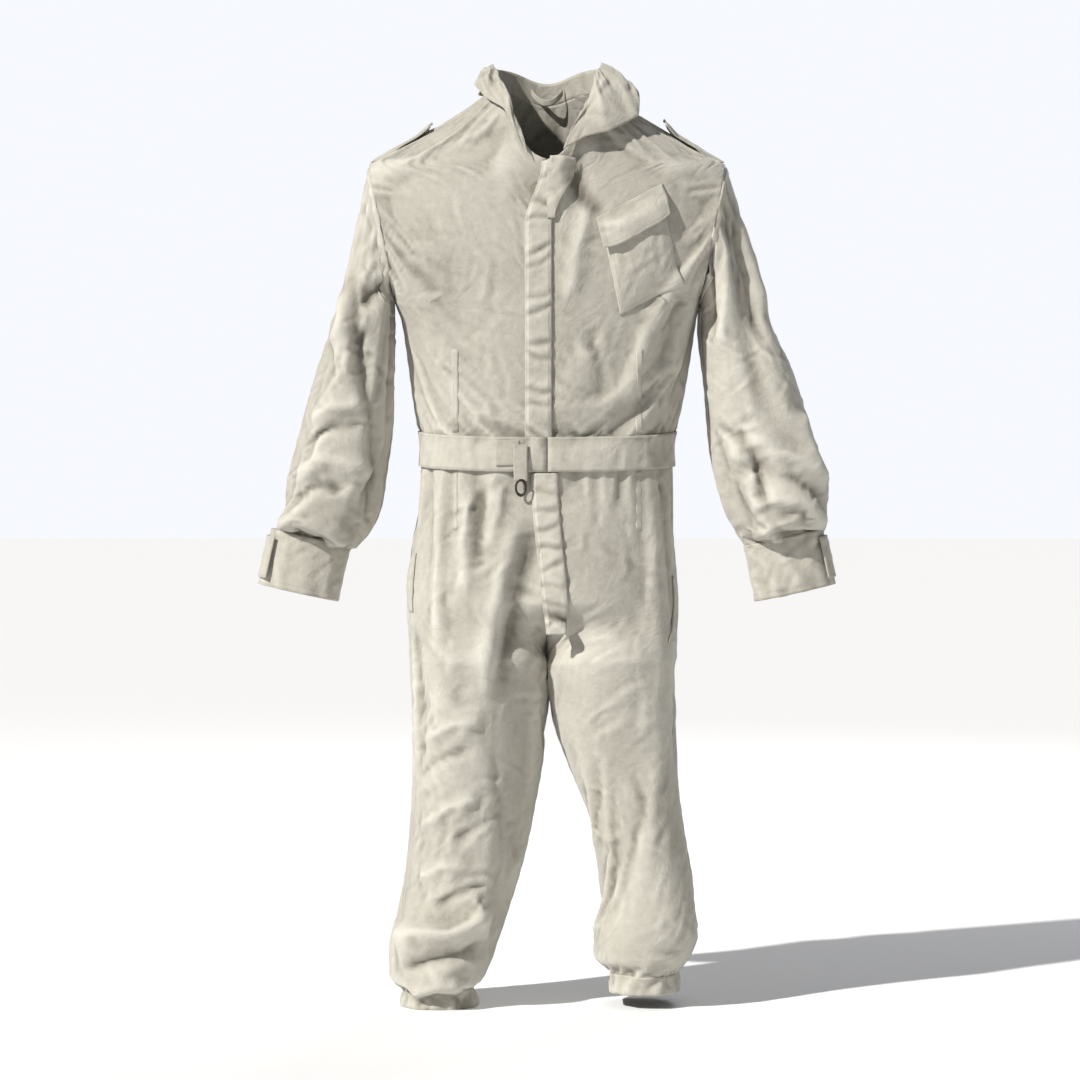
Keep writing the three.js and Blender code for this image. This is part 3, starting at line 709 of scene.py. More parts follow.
def cotton(name, hollow, plain, worn, rough=0.88, rib_scale=420):
    material = bpy.data.materials.new(name)
    material.use_nodes = True
    tree, make = node_maker(material)
    link = tree.links.new
    shader = tree.nodes["Principled BSDF"]
    place = make("ShaderNodeTexCoord")
    blotch = make("ShaderNodeTexNoise", in_2=7.0, in_3=5.0, in_4=0.6)
    link(place.outputs["Object"], blotch.inputs["Vector"])
    fine = make("ShaderNodeTexNoise", in_2=90.0, in_3=4.0, in_4=0.65)
    link(place.outputs["Object"], fine.inputs["Vector"])
    # The crease value, 0 in hollows and 1 on ridges, paints light and shade into the colour.
    crease = make("ShaderNodeAttribute", attribute_name="crease")
    stain = make("ShaderNodeMath", operation="MULTIPLY_ADD", in_1=0.42, in_2=0.0)
    link(blotch.outputs[0], stain.inputs[0])
    grain = make("ShaderNodeMath", operation="MULTIPLY_ADD", in_1=0.24)
    link(fine.outputs[0], grain.inputs[0])
    link(stain.outputs[0], grain.inputs[2])
    level = make("ShaderNodeMath", operation="MULTIPLY_ADD", in_1=0.5)
    link(crease.outputs["Fac"], level.inputs[0])
    link(grain.outputs[0], level.inputs[2])
    tone = make("ShaderNodeValToRGB")
    # The first stop is painted shade for hollows; the last is rubbed wear with painted highlight
    # for ridges.
    ramp(tone, [(0.30, hollow), (0.56, plain), (0.86, worn)])
    link(level.outputs[0], tone.inputs[0])
    link(tone.outputs[0], shader.inputs["Base Color"])
    layout = make("ShaderNodeUVMap", uv_map="layout")
    twill = make("ShaderNodeTexWave", in_1=rib_scale, in_2=1.2, in_3=2.0, in_4=1.5)
    twill.bands_direction = "DIAGONAL"
    link(layout.outputs[0], twill.inputs["Vector"])
    crumb = make("ShaderNodeTexNoise", in_2=38.0, in_3=6.0, in_4=0.62, in_8=0.6)
    link(layout.outputs[0], crumb.inputs["Vector"])
    small = make("ShaderNodeBump", in_0=0.35)
    small.inputs["Distance"].default_value = 0.0004
    link(twill.outputs["Fac"], small.inputs["Height"])
    large = make("ShaderNodeBump", in_0=0.55)
    large.inputs["Distance"].default_value = 0.004
    link(crumb.outputs[0], large.inputs["Height"])
    pucker = make("ShaderNodeTexNoise", in_2=150.0, in_3=4.0, in_4=0.6, in_8=0.4)
    link(layout.outputs[0], pucker.inputs["Vector"])
    middle = make("ShaderNodeBump", in_0=0.5)
    middle.inputs["Distance"].default_value = 0.0012
    link(pucker.outputs[0], middle.inputs["Height"])
    link(small.outputs[0], middle.inputs["Normal"])
    link(middle.outputs[0], large.inputs["Normal"])
    link(large.outputs[0], shader.inputs["Normal"])
    shader.inputs["Roughness"].default_value = rough
    shader.inputs["Specular IOR Level"].default_value = 0.25
    shader.inputs["Sheen Weight"].default_value = 0.25
    shader.inputs["Sheen Roughness"].default_value = 0.5
    return material


# Each finish: the painted shade of hollows, the plain cloth, and the ridge colour, which is rubbed
# wear with painted highlight.
drill = cotton(
    "stone_drill", (0.175, 0.160, 0.130), (0.405, 0.382, 0.325), (0.590, 0.565, 0.495)
)
band_drill = cotton(
    "band_drill", (0.190, 0.175, 0.143), (0.430, 0.405, 0.345), (0.620, 0.595, 0.525)
)


def small_finish(name, dull, bright, rough, scale, metallic=0.0):
    """A hard or shiny finish that is a little uneven, for metal, thread and buttons."""
    material = bpy.data.materials.new(name)
    material.use_nodes = True
    tree, make = node_maker(material)
    shader = tree.nodes["Principled BSDF"]
    place = make("ShaderNodeTexCoord")
    cloud = make("ShaderNodeTexNoise", in_2=scale, in_3=4.0, in_4=0.6)
    tree.links.new(place.outputs["Object"], cloud.inputs["Vector"])
    tone = make("ShaderNodeValToRGB")
    ramp(tone, [(0.35, dull), (0.65, bright)])
    tree.links.new(cloud.outputs[0], tone.inputs[0])
    tree.links.new(tone.outputs[0], shader.inputs["Base Color"])
    grit = make("ShaderNodeBump", in_0=0.25)
    grit.inputs["Distance"].default_value = 0.0002
    tree.links.new(cloud.outputs[0], grit.inputs["Height"])
    tree.links.new(grit.outputs[0], shader.inputs["Normal"])
    shader.inputs["Roughness"].default_value = rough
    shader.inputs["Metallic"].default_value = metallic
    return material


print("finishes", [m.name for m in bpy.data.materials if m.name.endswith("drill")])

# %% [markdown]
# From net to cloth: the panel's grid is subdivided, so its folds are round, and given
# a thickness. Each corner also remembers whether it lies on a ridge or in a hollow,
# found by comparing it with the average of its neighbours, and its place on the flat
# panel in metres. Those two feed the finish: the first paints hollows darker, as
# painted shade, and ridges paler, as painted highlight and rubbed wear.


# %% Small creases
def finer(points):
    """The same sheet with twice the rows and columns, along smooth curves."""
    for axis in (0, 1):
        p = np.moveaxis(points, axis, 0)
        first, last = 2 * p[:1] - p[1:2], 2 * p[-1:] - p[-2:-1]
        padded = np.concatenate([first, p, last])
        middle = (9 * (padded[1:-2] + padded[2:-1]) - padded[:-3] - padded[3:]) / 16
        out = np.empty((2 * len(p) - 1,) + p.shape[1:])
        out[::2], out[1::2] = p, middle
        points = np.moveaxis(out, 0, axis)
    return points


def crease(points, many, lean, spread, tall, keep=0.012, seed=0):
    """Presses short sharp creases, at angles near lean, in degrees from level.

    Each is a ridge with a groove beside it. They fade out within keep of the edges.
    """
    draw = np.random.default_rng(seed)
    u, v = flat_layout(points)
    wide, high = u.max(), v.max()
    height = np.zeros(u.shape)
    for _ in range(many):
        angle = math.radians(lean + spread * draw.normal())
        cu, cv = draw.uniform(0, wide), draw.uniform(0, high)
        half = draw.uniform(0.012, 0.055)
        width = draw.uniform(0.0035, 0.0075)
        size = tall * draw.uniform(0.35, 1) * draw.choice([-1, 1]) * width / 0.006
        bow = draw.uniform(-6, 6)
        du, dv = u - cu, v - cv
        along = du * math.cos(angle) + dv * math.sin(angle)
        across = dv * math.cos(angle) - du * math.sin(angle) - bow * along**2
        fade = np.clip(1 - (along / half) ** 2, 0, 1) ** 2
        ridge, groove = across / width, (across - 1.7 * width) / width
        height += size * fade * (np.exp(-(ridge**2)) - 0.75 * np.exp(-(groove**2)))
    edge = np.minimum(np.minimum(u, wide - u), np.minimum(v, high - v))
    height *= smooth(edge, 0, keep)
    return points + normals_of(points) * height[..., None]


# %% Finishing a panel
def neighbours(a):
    """The grid moved one step each way, with its edges repeated."""
    p = np.pad(a, ((1, 1), (1, 1)) + ((0, 0),) * (a.ndim - 2), mode="edge")
    return p[:-2, 1:-1], p[2:, 1:-1], p[1:-1, :-2], p[1:-1, 2:]


# Feeds the cotton's colour, where it becomes painted shade in hollows and painted highlight with
# rubbed wear on ridges.
def ridge_value(points):
    """From 0 in a hollow to 1 on a ridge, for creases and for broad folds together."""

    def blur(a, times):
        for _ in range(times):
            down, up, before, after = neighbours(a)
            a = (down + up + before + after + a) / 5
        return a

    normal = normals_of(points)
    fine = ((points - blur(points, 4)) * normal).sum(-1) / 0.0012
    broad = ((points - blur(points, 40)) * normal).sum(-1) / 0.0060
    return np.clip(0.5 + 0.20 * fine + 0.24 * broad, 0, 1)


def flat_layout(points):
    """Each corner's place on the flat panel, in metres."""
    across = np.linalg.norm(np.diff(points, axis=1), axis=-1).mean(0)
    along = np.linalg.norm(np.diff(points, axis=0), axis=-1).mean(1)
    u = np.concatenate([[0], np.cumsum(across)])
    v = np.concatenate([[0], np.cumsum(along)])
    shape = points.shape[:2]
    return np.broadcast_to(u[None, :], shape), np.broadcast_to(v[:, None], shape)


def write_layout(mesh, u, v):
    layer = mesh.uv_layers.new(name="layout")
    corners = np.zeros(len(mesh.loops), int)
    mesh.loops.foreach_get("vertex_index", corners)
    flat = np.stack([u.ravel(), v.ravel()], -1)[corners]
    layer.data.foreach_set("uv", flat.astype(np.float32).ravel())


def write_crease(mesh, values):
    attribute = mesh.attributes.new("crease", "FLOAT", "POINT")
    attribute.data.foreach_set("value", values.astype(np.float32).ravel())


def apply_all(piece):
    bpy.ops.object.select_all(action="DESELECT")
    piece.select_set(True)
    bpy.context.view_layer.objects.active = piece
    for modifier in list(piece.modifiers):
        bpy.ops.object.modifier_apply(modifier=modifier.name)


def cloth_piece(name, points, base, stands_for, material, thick=0.0013, slot="cotton_drill"):
    """A finished sheet at points, with faces turned anticlockwise as seen from outside.

    base is the same sheet before it was folded; it is not used.
    """
    piece = lay_out(name + "_cloth" if name in nodes else name, points)
    # This value paints shade into hollows and highlight onto ridges in the cotton's colour.
    write_crease(piece.data, ridge_value(points))
    write_layout(piece.data, *flat_layout(points))
    piece.data.materials.append(material)
    solid = piece.modifiers.new("Thickness", "SOLIDIFY")
    solid.thickness, solid.offset = thick, -1
    apply_all(piece)
    bpy.ops.object.shade_smooth()
    if stands_for:
        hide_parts(*stands_for)
    return piece


# %% [markdown]
# Every panel gets its own plan of small creases. Sleeves crease across the arm, the
# chest and thighs more along the grain. Fixed seeds give the same creases each time.

# %% Creasing every panel
creasing = {
    # panel: number of creases, usual angle, spread of angles, height
    "bodice_front_right": (110, 60, 40, 0.0011),
    "bodice_front_left": (120, 120, 40, 0.0012),
    "bodice_back_right": (110, 90, 50, 0.0012),
    "bodice_back_left": (110, 90, 50, 0.0012),
    "sleeve_right": (210, 20, 40, 0.0019),
    "sleeve_left": (210, -20, 40, 0.0019),
    "trouser_front_right": (190, 60, 45, 0.0014),
    "trouser_front_left": (190, 110, 45, 0.0014),
    "trouser_back_right": (190, 20, 45, 0.0015),
    "trouser_back_left": (190, 160, 45, 0.0015),
}
for seed, (name, plan) in enumerate(creasing.items()):
    panels[name] = crease(finer(panels[name]), *plan, seed=seed)
    base_panels[name] = finer(base_panels[name])
print("creased", sum(plan[0] for plan in creasing.values()), "times")


# %% [markdown]
# The bodice: two fronts, a back and a yoke. A grid whose columns run clockwise would
# show its inside, so its columns are turned about before it is made.

# %% The bodice panels
def turned(points):
    """The same grid with its columns the other way round."""
    return points[:, ::-1]


made = {}
for name, side in sides.items():
    key = f"bodice_front_{name}"
    points, base = panels[key], base_panels[key]
    if side < 0:
        points, base = turned(points), turned(base)
    made[key] = cloth_piece(key, points, base, [f"front_{name}_panel"], drill)


def joined_back(grids):
    left, right = grids["bodice_back_left"], grids["bodice_back_right"]
    return np.concatenate([turned(left), right[:, 1:]], 1)


back, back_base = joined_back(panels), joined_back(base_panels)
yoke_drop = 0.170
yoke_row = int(np.argmin(np.abs(back_base[:, back.shape[1] // 2, 2] + yoke_drop)))
lower, upper = slice(0, yoke_row + 1), slice(yoke_row, None)
back_parts = [("bodice_back", lower, "back_panel"), ("bodice_yoke", upper, "back_yoke")]
for key, part, stands_for in back_parts:
    made[key] = cloth_piece(key, back[part], back_base[part], [stands_for], drill)
for piece in made.values():
    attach(piece, "torso")

# %% [markdown]
# Sleeves and trousers cross a joint. Here each is one piece whose place is only baked
# into its mesh, so it does not bend between two bodies.


# %% The sleeves and trousers
for name, side in sides.items():
    key = f"sleeve_{name}"
    halves = [f"sleeve_{name}_front", f"sleeve_{name}_back"]
    made[key] = cloth_piece(key, panels[key], base_panels[key], halves, drill)
    for face in ("front", "back"):
        key = f"trouser_{face}_{name}"
        points, base = panels[key], base_panels[key]
        if (side < 0) != (face == "front"):
            points, base = turned(points), turned(base)
        stands_for = [f"hips_{name}_{face}", f"leg_{name}_{face}"]
        made[key] = cloth_piece(key, points, base, stands_for, drill)


def bend_sleeve(piece):
    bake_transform(piece)


def bend_leg(piece):
    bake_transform(piece)


for name in sides:
    bend_sleeve(made[f"sleeve_{name}"])
    bend_leg(made[f"trouser_front_{name}"])
    bend_leg(made[f"trouser_back_{name}"])

# %% [markdown]
# Smaller pieces are sewn on top of the big ones. Each is laid on the same formulas as
# the body, and is then lifted until it rests on the settled, creased cloth below: a
# ray is shot inwards from every corner to find that cloth. The heights are spread to
# the neighbours and smoothed, as a double layer of drill bridges small creases.


# %% Resting a piece on the settled cloth
def tree_of(grids):
    places, faces, start = [], [], 0
    for points in grids:
        rows, columns = points.shape[:2]
        index = np.arange(rows * columns).reshape(rows, columns) + start
        a, b, c, d = index[:-1, :-1], index[:-1, 1:], index[1:, 1:], index[1:, :-1]
        faces += np.stack([a, b, c, d], -1).reshape(-1, 4).tolist()
        places += points.reshape(-1, 3).tolist()
        start += rows * columns
    return BVHTree.FromPolygons(places, faces)


body_panels = [points for name, points in panels.items() if not name.startswith("sleeve")]
trees = {"body": tree_of(body_panels)}
probe = 0.045  # how far out each ray starts, and how far in it may go


def soften(a, times):
    for _ in range(times):
        down, up, before, after = neighbours(a)
        a = (down + up + before + after + 2 * a) / 6
    return a


def rest_on(points, normals, spread=1, smoothing=2):
    """How high above the points the settled cloth lies, bridged as stiff cloth does."""
    heights = np.full(points.shape[:2], np.nan)
    for r, c in np.ndindex(*heights.shape):
        start = Vector(points[r, c] + normals[r, c] * probe)
        hit = trees["body"].ray_cast(start, Vector(-normals[r, c]), 2 * probe)
        if hit[0]:
            heights[r, c] = probe - hit[3]
    usual = np.nanmedian(heights) if np.isfinite(heights).any() else 0
    heights = np.where(np.isnan(heights), usual, heights)
    for _ in range(spread):
        heights = np.maximum.reduce([*neighbours(heights), heights])
    return soften(heights, smoothing)


def patch_points(base, lift, spread=1, smoothing=2):
    """The base points moved out onto the cloth, with lift as an array or a number."""
    normals = normals_of(base)
    heights = rest_on(base, normals, spread, smoothing) + lift
    return base + normals * np.broadcast_to(heights, base.shape[:2])[..., None]


def puckers(base, places, depth, width, slant, seed):
    """Grooves across a strip at the given shares of its length, with puffs between."""
    draw = np.random.default_rng(seed)
    u, v = np.meshgrid(np.linspace(0, 1, base.shape[1]), np.linspace(0, 1, base.shape[0]))
    length = np.linalg.norm(np.diff(base[:, base.shape[1] // 2], axis=0), axis=-1).sum()
    height = np.zeros(u.shape)
    for place in places:
        line = place + slant * draw.uniform(-1, 1) * (u - 0.5)
        line = line + 0.006 * np.sin(draw.uniform(0, 6) + 5 * u)
        gap = (v - line) * length
        size = depth * draw.uniform(0.6, 1.1)
        groove, puff = gap / width, (gap - 2.4 * width) / (1.6 * width)
        height += size * (0.55 * np.exp(-(puff**2)) - np.exp(-(groove**2)))
    side_fall = np.clip(np.minimum(u, 1 - u) / 0.12, 0.45, 1)
    return height * side_fall


# %% [markdown]
# Drill is sewn with two needles, so most seams show two rows of short stitches. One
# stitch is a small bead with eight corners, modelled once as numbers and repeated
# along each line. All the stitches on one body are one mesh.

# %% Stitches
stitch_step, stitch_half, stitch_thick, thread_gap = 0.0036, 0.00125, 0.00038, 0.0001
threads = {}
bead = np.array([
    (-1, 0, -0.6), (-0.55, 1, 0), (0.55, 1, 0), (1, 0, -0.6), (0.55, -1, 0), (-0.55, -1, 0),
    (-0.5, 0, 1), (0.5, 0, 1),
])
bead_faces = [
    (0, 6, 1), (1, 6, 7, 2), (2, 7, 3), (3, 7, 4), (4, 7, 6, 5), (5, 6, 0), (0, 1, 2, 3, 4, 5),
]


def sample(grid, u, v):
    """Values of a grid at shares u across and v up, between its corners."""
    rows, columns = grid.shape[0] - 1, grid.shape[1] - 1
    x, y = np.clip(u, 0, 1) * columns, np.clip(v, 0, 1) * rows
    i, j = np.minimum(y.astype(int), rows - 1), np.minimum(x.astype(int), columns - 1)
    a, b = (y - i)[:, None], (x - j)[:, None]
    low = grid[i, j] * (1 - b) + grid[i, j + 1] * b
    high = grid[i + 1, j] * (1 - b) + grid[i + 1, j + 1] * b
    return low * (1 - a) + high * a


def trace(grid, u, v, count):
    """Places and normals at count steps along a line of shares u and v on a grid."""
    steps, track = np.linspace(0, 1, count), np.linspace(0, 1, len(u))
    u, v = np.interp(steps, track, u), np.interp(steps, track, v)
    return sample(grid, u, v), sample(normals_of(grid), u, v)


def length_along(line):
    return np.concatenate([[0], np.cumsum(np.linalg.norm(np.diff(line, axis=0), axis=1))])


def at_lengths(stops, run, values):
    return np.stack([np.interp(stops, run, values[:, k]) for k in range(3)], -1)


def unit(vectors):
    return vectors / np.maximum(np.linalg.norm(vectors, axis=1, keepdims=True), 1e-9)


def stitch(key, grid, u, v):
    """Stitches along a line on a grid, given by shares u and v, on the thread key."""
    u, v = np.broadcast_arrays(np.asarray(u, float), np.asarray(v, float))
    places, normals = trace(grid, u, v, 240)
    run = length_along(places)
    stops = np.arange(stitch_step / 2, run[-1], stitch_step)
    along = at_lengths(stops + mm, run, places) - at_lengths(stops - mm, run, places)
    at, up = at_lengths(stops, run, places), at_lengths(stops, run, normals)
    threads.setdefault(key, []).append((at, unit(along), unit(up)))


def stitch_rows(key, grid, rows, upright=False):
    """Parallel rows across the grid, or up it, at the given shares of the other way."""
    run = np.linspace(0.01, 0.99, 40)
    for place in rows:
        fixed = np.full(40, place)
        stitch(key, grid, *((fixed, run) if upright else (run, fixed)))


def sewn_edges(key, grid, inset, edges="lrtb"):
    """A row of stitches inside each named edge, left, right, top, bottom, at inset metres."""
    high = np.linalg.norm(np.diff(grid[:, grid.shape[1] // 2], axis=0), axis=-1).sum()
    wide = np.linalg.norm(np.diff(grid[grid.shape[0] // 2], axis=0), axis=-1).sum()
    a, b = inset / wide, inset / high
    lines = {
        "l": ([a, a], [b, 1 - b]), "r": ([1 - a, 1 - a], [b, 1 - b]),
        "b": ([a, 1 - a], [b, b]), "t": ([a, 1 - a], [1 - b, 1 - b]),
    }
    for edge in edges:
        stitch(key, grid, *lines[edge])


# %% [markdown]
# The front closes over hidden buttons, under a placket strip sewn down at the wearer's
# right. Buttons and buttonholes under it pull it into a row of puckers. Its top is
# turned back, as it is worn open at the neck.

# %% Placket and button band
def strip(bottom, top, middle_of, width_of, columns, rows):
    z = np.linspace(bottom, top, rows + 1)[:, None]
    u = np.linspace(-0.5, 0.5, columns + 1)[None, :]
    return front_point(middle_of(z) + u * width_of(z), z + 0 * u)


def edge_lift(grid, middle, left, right, inset=0.16):
    """A lift that is middle over most of the width and falls to left and right."""
    u = np.linspace(0, 1, grid.shape[1])[None, :]
    lift = middle + (left - middle) * smooth(inset - u, 0, inset)
    lift = lift + (right - middle) * smooth(u - 1 + inset, 0, inset)
    return np.broadcast_to(lift, grid.shape[:2])


def sewn_piece(name, base, places, stands_for, body, **more):
    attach(cloth_piece(name, places, base, stands_for, band_drill, **more), body)


def constant(value):
    return lambda z: value + 0 * z


placket = strip(
    -0.527, -0.104,
    lambda z: -0.0135 + 0.028 * smooth(z, -0.20, -0.104),
    lambda z: 0.042 + 0.004 * smooth(z, -0.20, -0.104),
    14, 130,
)
# Two grooves beside each hidden button, as shares of the placket's height.
placket_grooves = [0.02, 0.125, 0.175, 0.30, 0.345, 0.465, 0.515, 0.635, 0.68, 0.80, 0.855, 0.955]
lift = edge_lift(placket, 0.0052, 0.0016, 0.0034)
lift = lift + puckers(placket, placket_grooves, 0.0030, 0.0050, 0.05, 3)
places = crease(patch_points(placket, lift, 1, 4), 60, 10, 40, 0.0006, keep=0.006, seed=30)
sewn_piece("placket", placket, places, ["front_placket"], "torso", thick=0.0016)
stitch_rows("torso", places, [0.05, 0.17, 0.86, 0.95], upright=True)

turn_back = strip(
    -0.190, -0.098,
    lambda z: 0.006 + 0.018 * smooth(z, -0.190, -0.098),
    lambda z: 0.012 + 0.028 * smooth(z, -0.190, -0.120),
    12, 30,
)
v = np.linspace(0, 1, 31)[:, None]
roll = 0.0028 * np.sin(np.pi * np.linspace(0, 1, 13))[None, :]
lift = 0.0058 + roll * v + 0.0016 * np.sin(7 * v)
places = crease(patch_points(turn_back, lift, 1, 4), 14, 70, 40, 0.0009, keep=0.004, seed=31)
sewn_piece("placket_turned_top", turn_back, places, [], "torso", thick=0.0014)
sewn_edges("torso", places, 0.003, "lrb")

behind_cloth = -0.0035
band = strip(-0.525, -0.128, constant(-0.017), constant(0.032), 6, 60)
places = patch_points(band, behind_cloth, 0, 3)
sewn_piece("button_band", band, places, ["button_band"], "torso", thick=0.001)

# %% [markdown]
# The waistband is a stiff double strip that runs round the join of top and trousers.
# Its gathers show as small waves, and its ends meet behind the placket's line.

# %% Waistband
def band_points(start, end, columns, rows, half=0.0265):
    turn = np.linspace(start, end, columns + 1)[None, :]
    v = np.linspace(-1, 1, rows + 1)[:, None]
    return trunk_point(turn + 0 * v, waist_line(turn) + v * half)


band_parts = {
    # the turn where it starts, the turn where it ends, and its columns
    "waistband_front_right": (-quarter, -0.001, 60),
    "waistband_front_left": (0.001, quarter, 60),
    "waistband_back": (quarter, 3 * quarter, 110),
}
for seed, (name, (start, end, columns)) in enumerate(band_parts.items(), 40):
    base = band_points(start, end, columns, 12)
    wave = 0.0007 * np.sin(np.linspace(0, 34, columns + 1))[None, :]
    lift = 0.0034 + wave * np.linspace(-1, 1, 13)[:, None]
    places = crease(patch_points(base, lift, 2, 6), 40, 80, 30, 0.0008, keep=0.002, seed=seed)
    sewn_piece(name, base, places, [name], "torso", thick=0.0018)
    stitch_rows("torso", places, [0.06, 0.94])

# %% [markdown]
# A short tab hangs from the right front of the waistband, from a boxed row of
# stitches, and carries a dark metal loop for a strap.

# %% Waist tab and its loop
anchor = strip(-0.5665, -0.527, constant(-0.060), constant(0.036), 12, 14)
places = patch_points(anchor, 0.0058, 2, 3)
sewn_piece("waist_tab_anchor", anchor, places, [], "torso", thick=0.0012)
sewn_edges("torso", places, 0.0025)
tab = strip(-0.589, -0.5335, constant(-0.040), constant(0.021), 10, 26)
v = np.linspace(0, 1, 27)[:, None]
places = patch_points(tab, 0.0085 + 0.0015 * (1 - v), 3, 8)
sewn_piece("waist_tab", tab, places, ["waist_tab"], "waist_tab", thick=0.0016)
sewn_edges("waist_tab", places, 0.0025)
tab_end = places[0].mean(0)

# The loop starts as a round torus, stood upright, and is then drawn out downwards.
loop_drop, loop_stretch = 0.0105, 1.55
middle_z = tab_end[2] - loop_drop
bpy.ops.object.select_all(action="DESELECT")
bpy.ops.mesh.primitive_torus_add(
    major_segments=48, minor_segments=12, major_radius=0.0075, minor_radius=0.0016,
    location=(tab_end[0], tab_end[1] + 0.0006, middle_z), rotation=(quarter, 0, 0),
)
bpy.ops.object.transform_apply()
loop = bpy.context.object
loop.name = loop.data.name = "waist_tab_loop"
for vertex in loop.data.vertices:
    vertex.co.z = middle_z + (vertex.co.z - middle_z) * loop_stretch
bpy.ops.object.shade_smooth()
loop.data.materials.append(
    small_finish("dark_metal", (0.030, 0.025, 0.020), (0.085, 0.070, 0.052), 0.42, 600.0, 0.85)
)
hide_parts("waist_tab_ring")
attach(loop, "waist_tab")
print("tab ends at", np.round(tab_end, 3))

# %% [markdown]
# The chest pocket sits aslant. Its pouch has been filled and worn, so it stands off
# the chest in the middle, and the flap lies over its mouth with a soft edge.

# %% Chest pocket
slant = math.radians(28)
pocket_at = (0.128, -0.168)  # the middle of its mouth
side_lean = 0.42  # how far its sides lean, less than a right angle with the mouth


def chest_place(across, down):
    x = pocket_at[0] + across * math.cos(slant) + down * math.sin(slant) * side_lean
    z = pocket_at[1] + across * math.sin(slant) - down * math.cos(slant)
    return front_point(x, z)


u = np.linspace(0, 1, 31)[None, :]
v = np.linspace(0, 1, 41)[:, None]
pouch = chest_place((u - 0.5) * 0.106, mix(0.165, 0.012, v))
belly = np.sin(np.pi * u) ** 0.6 * np.clip(np.sqrt(v * 2.2), 0, 1)
lift = 0.0018 + 0.0085 * belly
places = crease(patch_points(pouch, lift, 1, 5), 26, 60, 50, 0.0012, keep=0.01, seed=50)
sewn_piece("chest_pocket_pouch", pouch, places, ["chest_pocket_pouch"], "torso")
sewn_edges("torso", places, 0.0022, "lrb")
sewn_edges("torso", places, 0.0080, "lrb")
trees["pouch"] = tree_of([places])

flap_edge = 0.046 + 0.012 * (1 - np.abs(2 * u - 1)) + 0.003 * np.sin(9 * u)
v = np.linspace(0, 1, 21)[:, None]
flap = chest_place((u - 0.5) * 0.117, mix(flap_edge, -0.008, v))
low = 1 - smooth(v, 0.35, 0.98)
lift = 0.0020 + (0.0128 * np.sin(np.pi * np.clip(u, 0.06, 0.94)) ** 0.5 + 0.0028) * low
lift = lift + 0.0022 * np.sin(7.5 * u + 0.6) * (1 - v)
places = crease(patch_points(flap, lift, 1, 5), 12, 20, 30, 0.0011, keep=0.006, seed=51)
sewn_piece("chest_pocket_flap", flap, places, ["chest_pocket_flap"], "pocket_flap", thick=0.0016)
sewn_edges("pocket_flap", places, 0.0022, "lrb")
sewn_edges("pocket_flap", places, 0.0075, "lrbt")

# %% [markdown]
# The fly strip below the waistband is puckered by its own hidden buttons. It is sewn
# down with two rows at the wearer's right and leans across the middle as it falls.

# %% Fly
fly_low, fly_high = -0.822, -0.5765
fly = strip(
    fly_low, fly_high,
    lambda z: mix(-0.004, 0.014, smooth(-z, -fly_high, -fly_low)),
    lambda z: 0.042 - 0.010 * smooth(-z, 0.76, -fly_low),
    14, 84,
)
fly_grooves = [0.07, 0.18, 0.30, 0.42, 0.54, 0.66, 0.77, 0.88]
lift = edge_lift(fly, 0.0050, 0.0014, 0.0030)
lift = lift + puckers(fly, fly_grooves, 0.0034, 0.0046, 0.06, 5)
places = crease(patch_points(fly, lift, 1, 4), 30, 10, 40, 0.0006, keep=0.006, seed=60)
sewn_piece("fly_cover", fly, places, ["fly_cover"], "torso", thick=0.0016)
stitch_rows("torso", places, [0.05, 0.18, 0.93], upright=True)
facing = strip(-0.745, fly_high, constant(-0.016), constant(0.030), 6, 30)
places = patch_points(facing, behind_cloth, 0, 3)
sewn_piece("fly_facing", facing, places, ["fly_facing"], "torso", thick=0.001)

# %% [markdown]
# Each side pocket is a slit beside the outseam, bound by a welt that is rubbed pale,
# with a flat bag behind it. The right one hangs a little open.

# %% Side pockets
# Each slit: the drops of its ends, and the shares of the panel that it lies between.
slits = {"right": (0.790, 0.700, 0.14, 0.215), "left": (0.835, 0.735, 0.17, 0.245)}


def hip_patch(name, near, far, columns, low, high, rows):
    share, z = np.linspace(near, far, columns)[None, :], np.linspace(-low, -high, rows)[:, None]
    patch = trouser_point(name, -1, share, z)
    return patch if name == "right" else turned(patch)


for name, (low, high, near, far) in slits.items():
    base = hip_patch(name, near, far, 9, low, high, 36)
    gape = np.sin(np.pi * np.linspace(0, 1, 36))[:, None]
    u = np.linspace(0, 1, 9)[None, :]
    lift = 0.0022 + 0.0035 * gape * (u if name == "left" else 1 - u)
    places = crease(patch_points(base, lift, 1, 3), 10, 90, 30, 0.0006, keep=0.003, seed=70)
    welt = f"side_pocket_welt_{name}"
    sewn_piece(welt, base, places, [welt], "torso", thick=0.0016)
    sewn_edges("torso", places, 0.0022)
    base, bag = hip_patch(name, near, 0.60, 12, 0.772, 0.70, 14), f"side_pocket_bag_{name}"
    places = patch_points(base, -0.005, 0, 3)
    sewn_piece(bag, base, places, [bag], "torso", thick=0.0014, slot="pocketing")

# %% [markdown]
# The collar is a stand, sewn round the neck, and a fall that folds over it. Its loose
# ends are leaves. Years of wear have left them limp: the right one is crushed against
# the stand, and the left one lies open across the collarbone.

# %% Collar
def collar_place(turn, height, out):
    base = neck_point(turn)
    outward = base * np.array([1, 1, 0])
    outward = outward / np.linalg.norm(outward, axis=-1, keepdims=True)
    upward = np.zeros(base.shape)
    upward[..., 2] = height
    return base + outward * np.asarray(out)[..., None] + upward


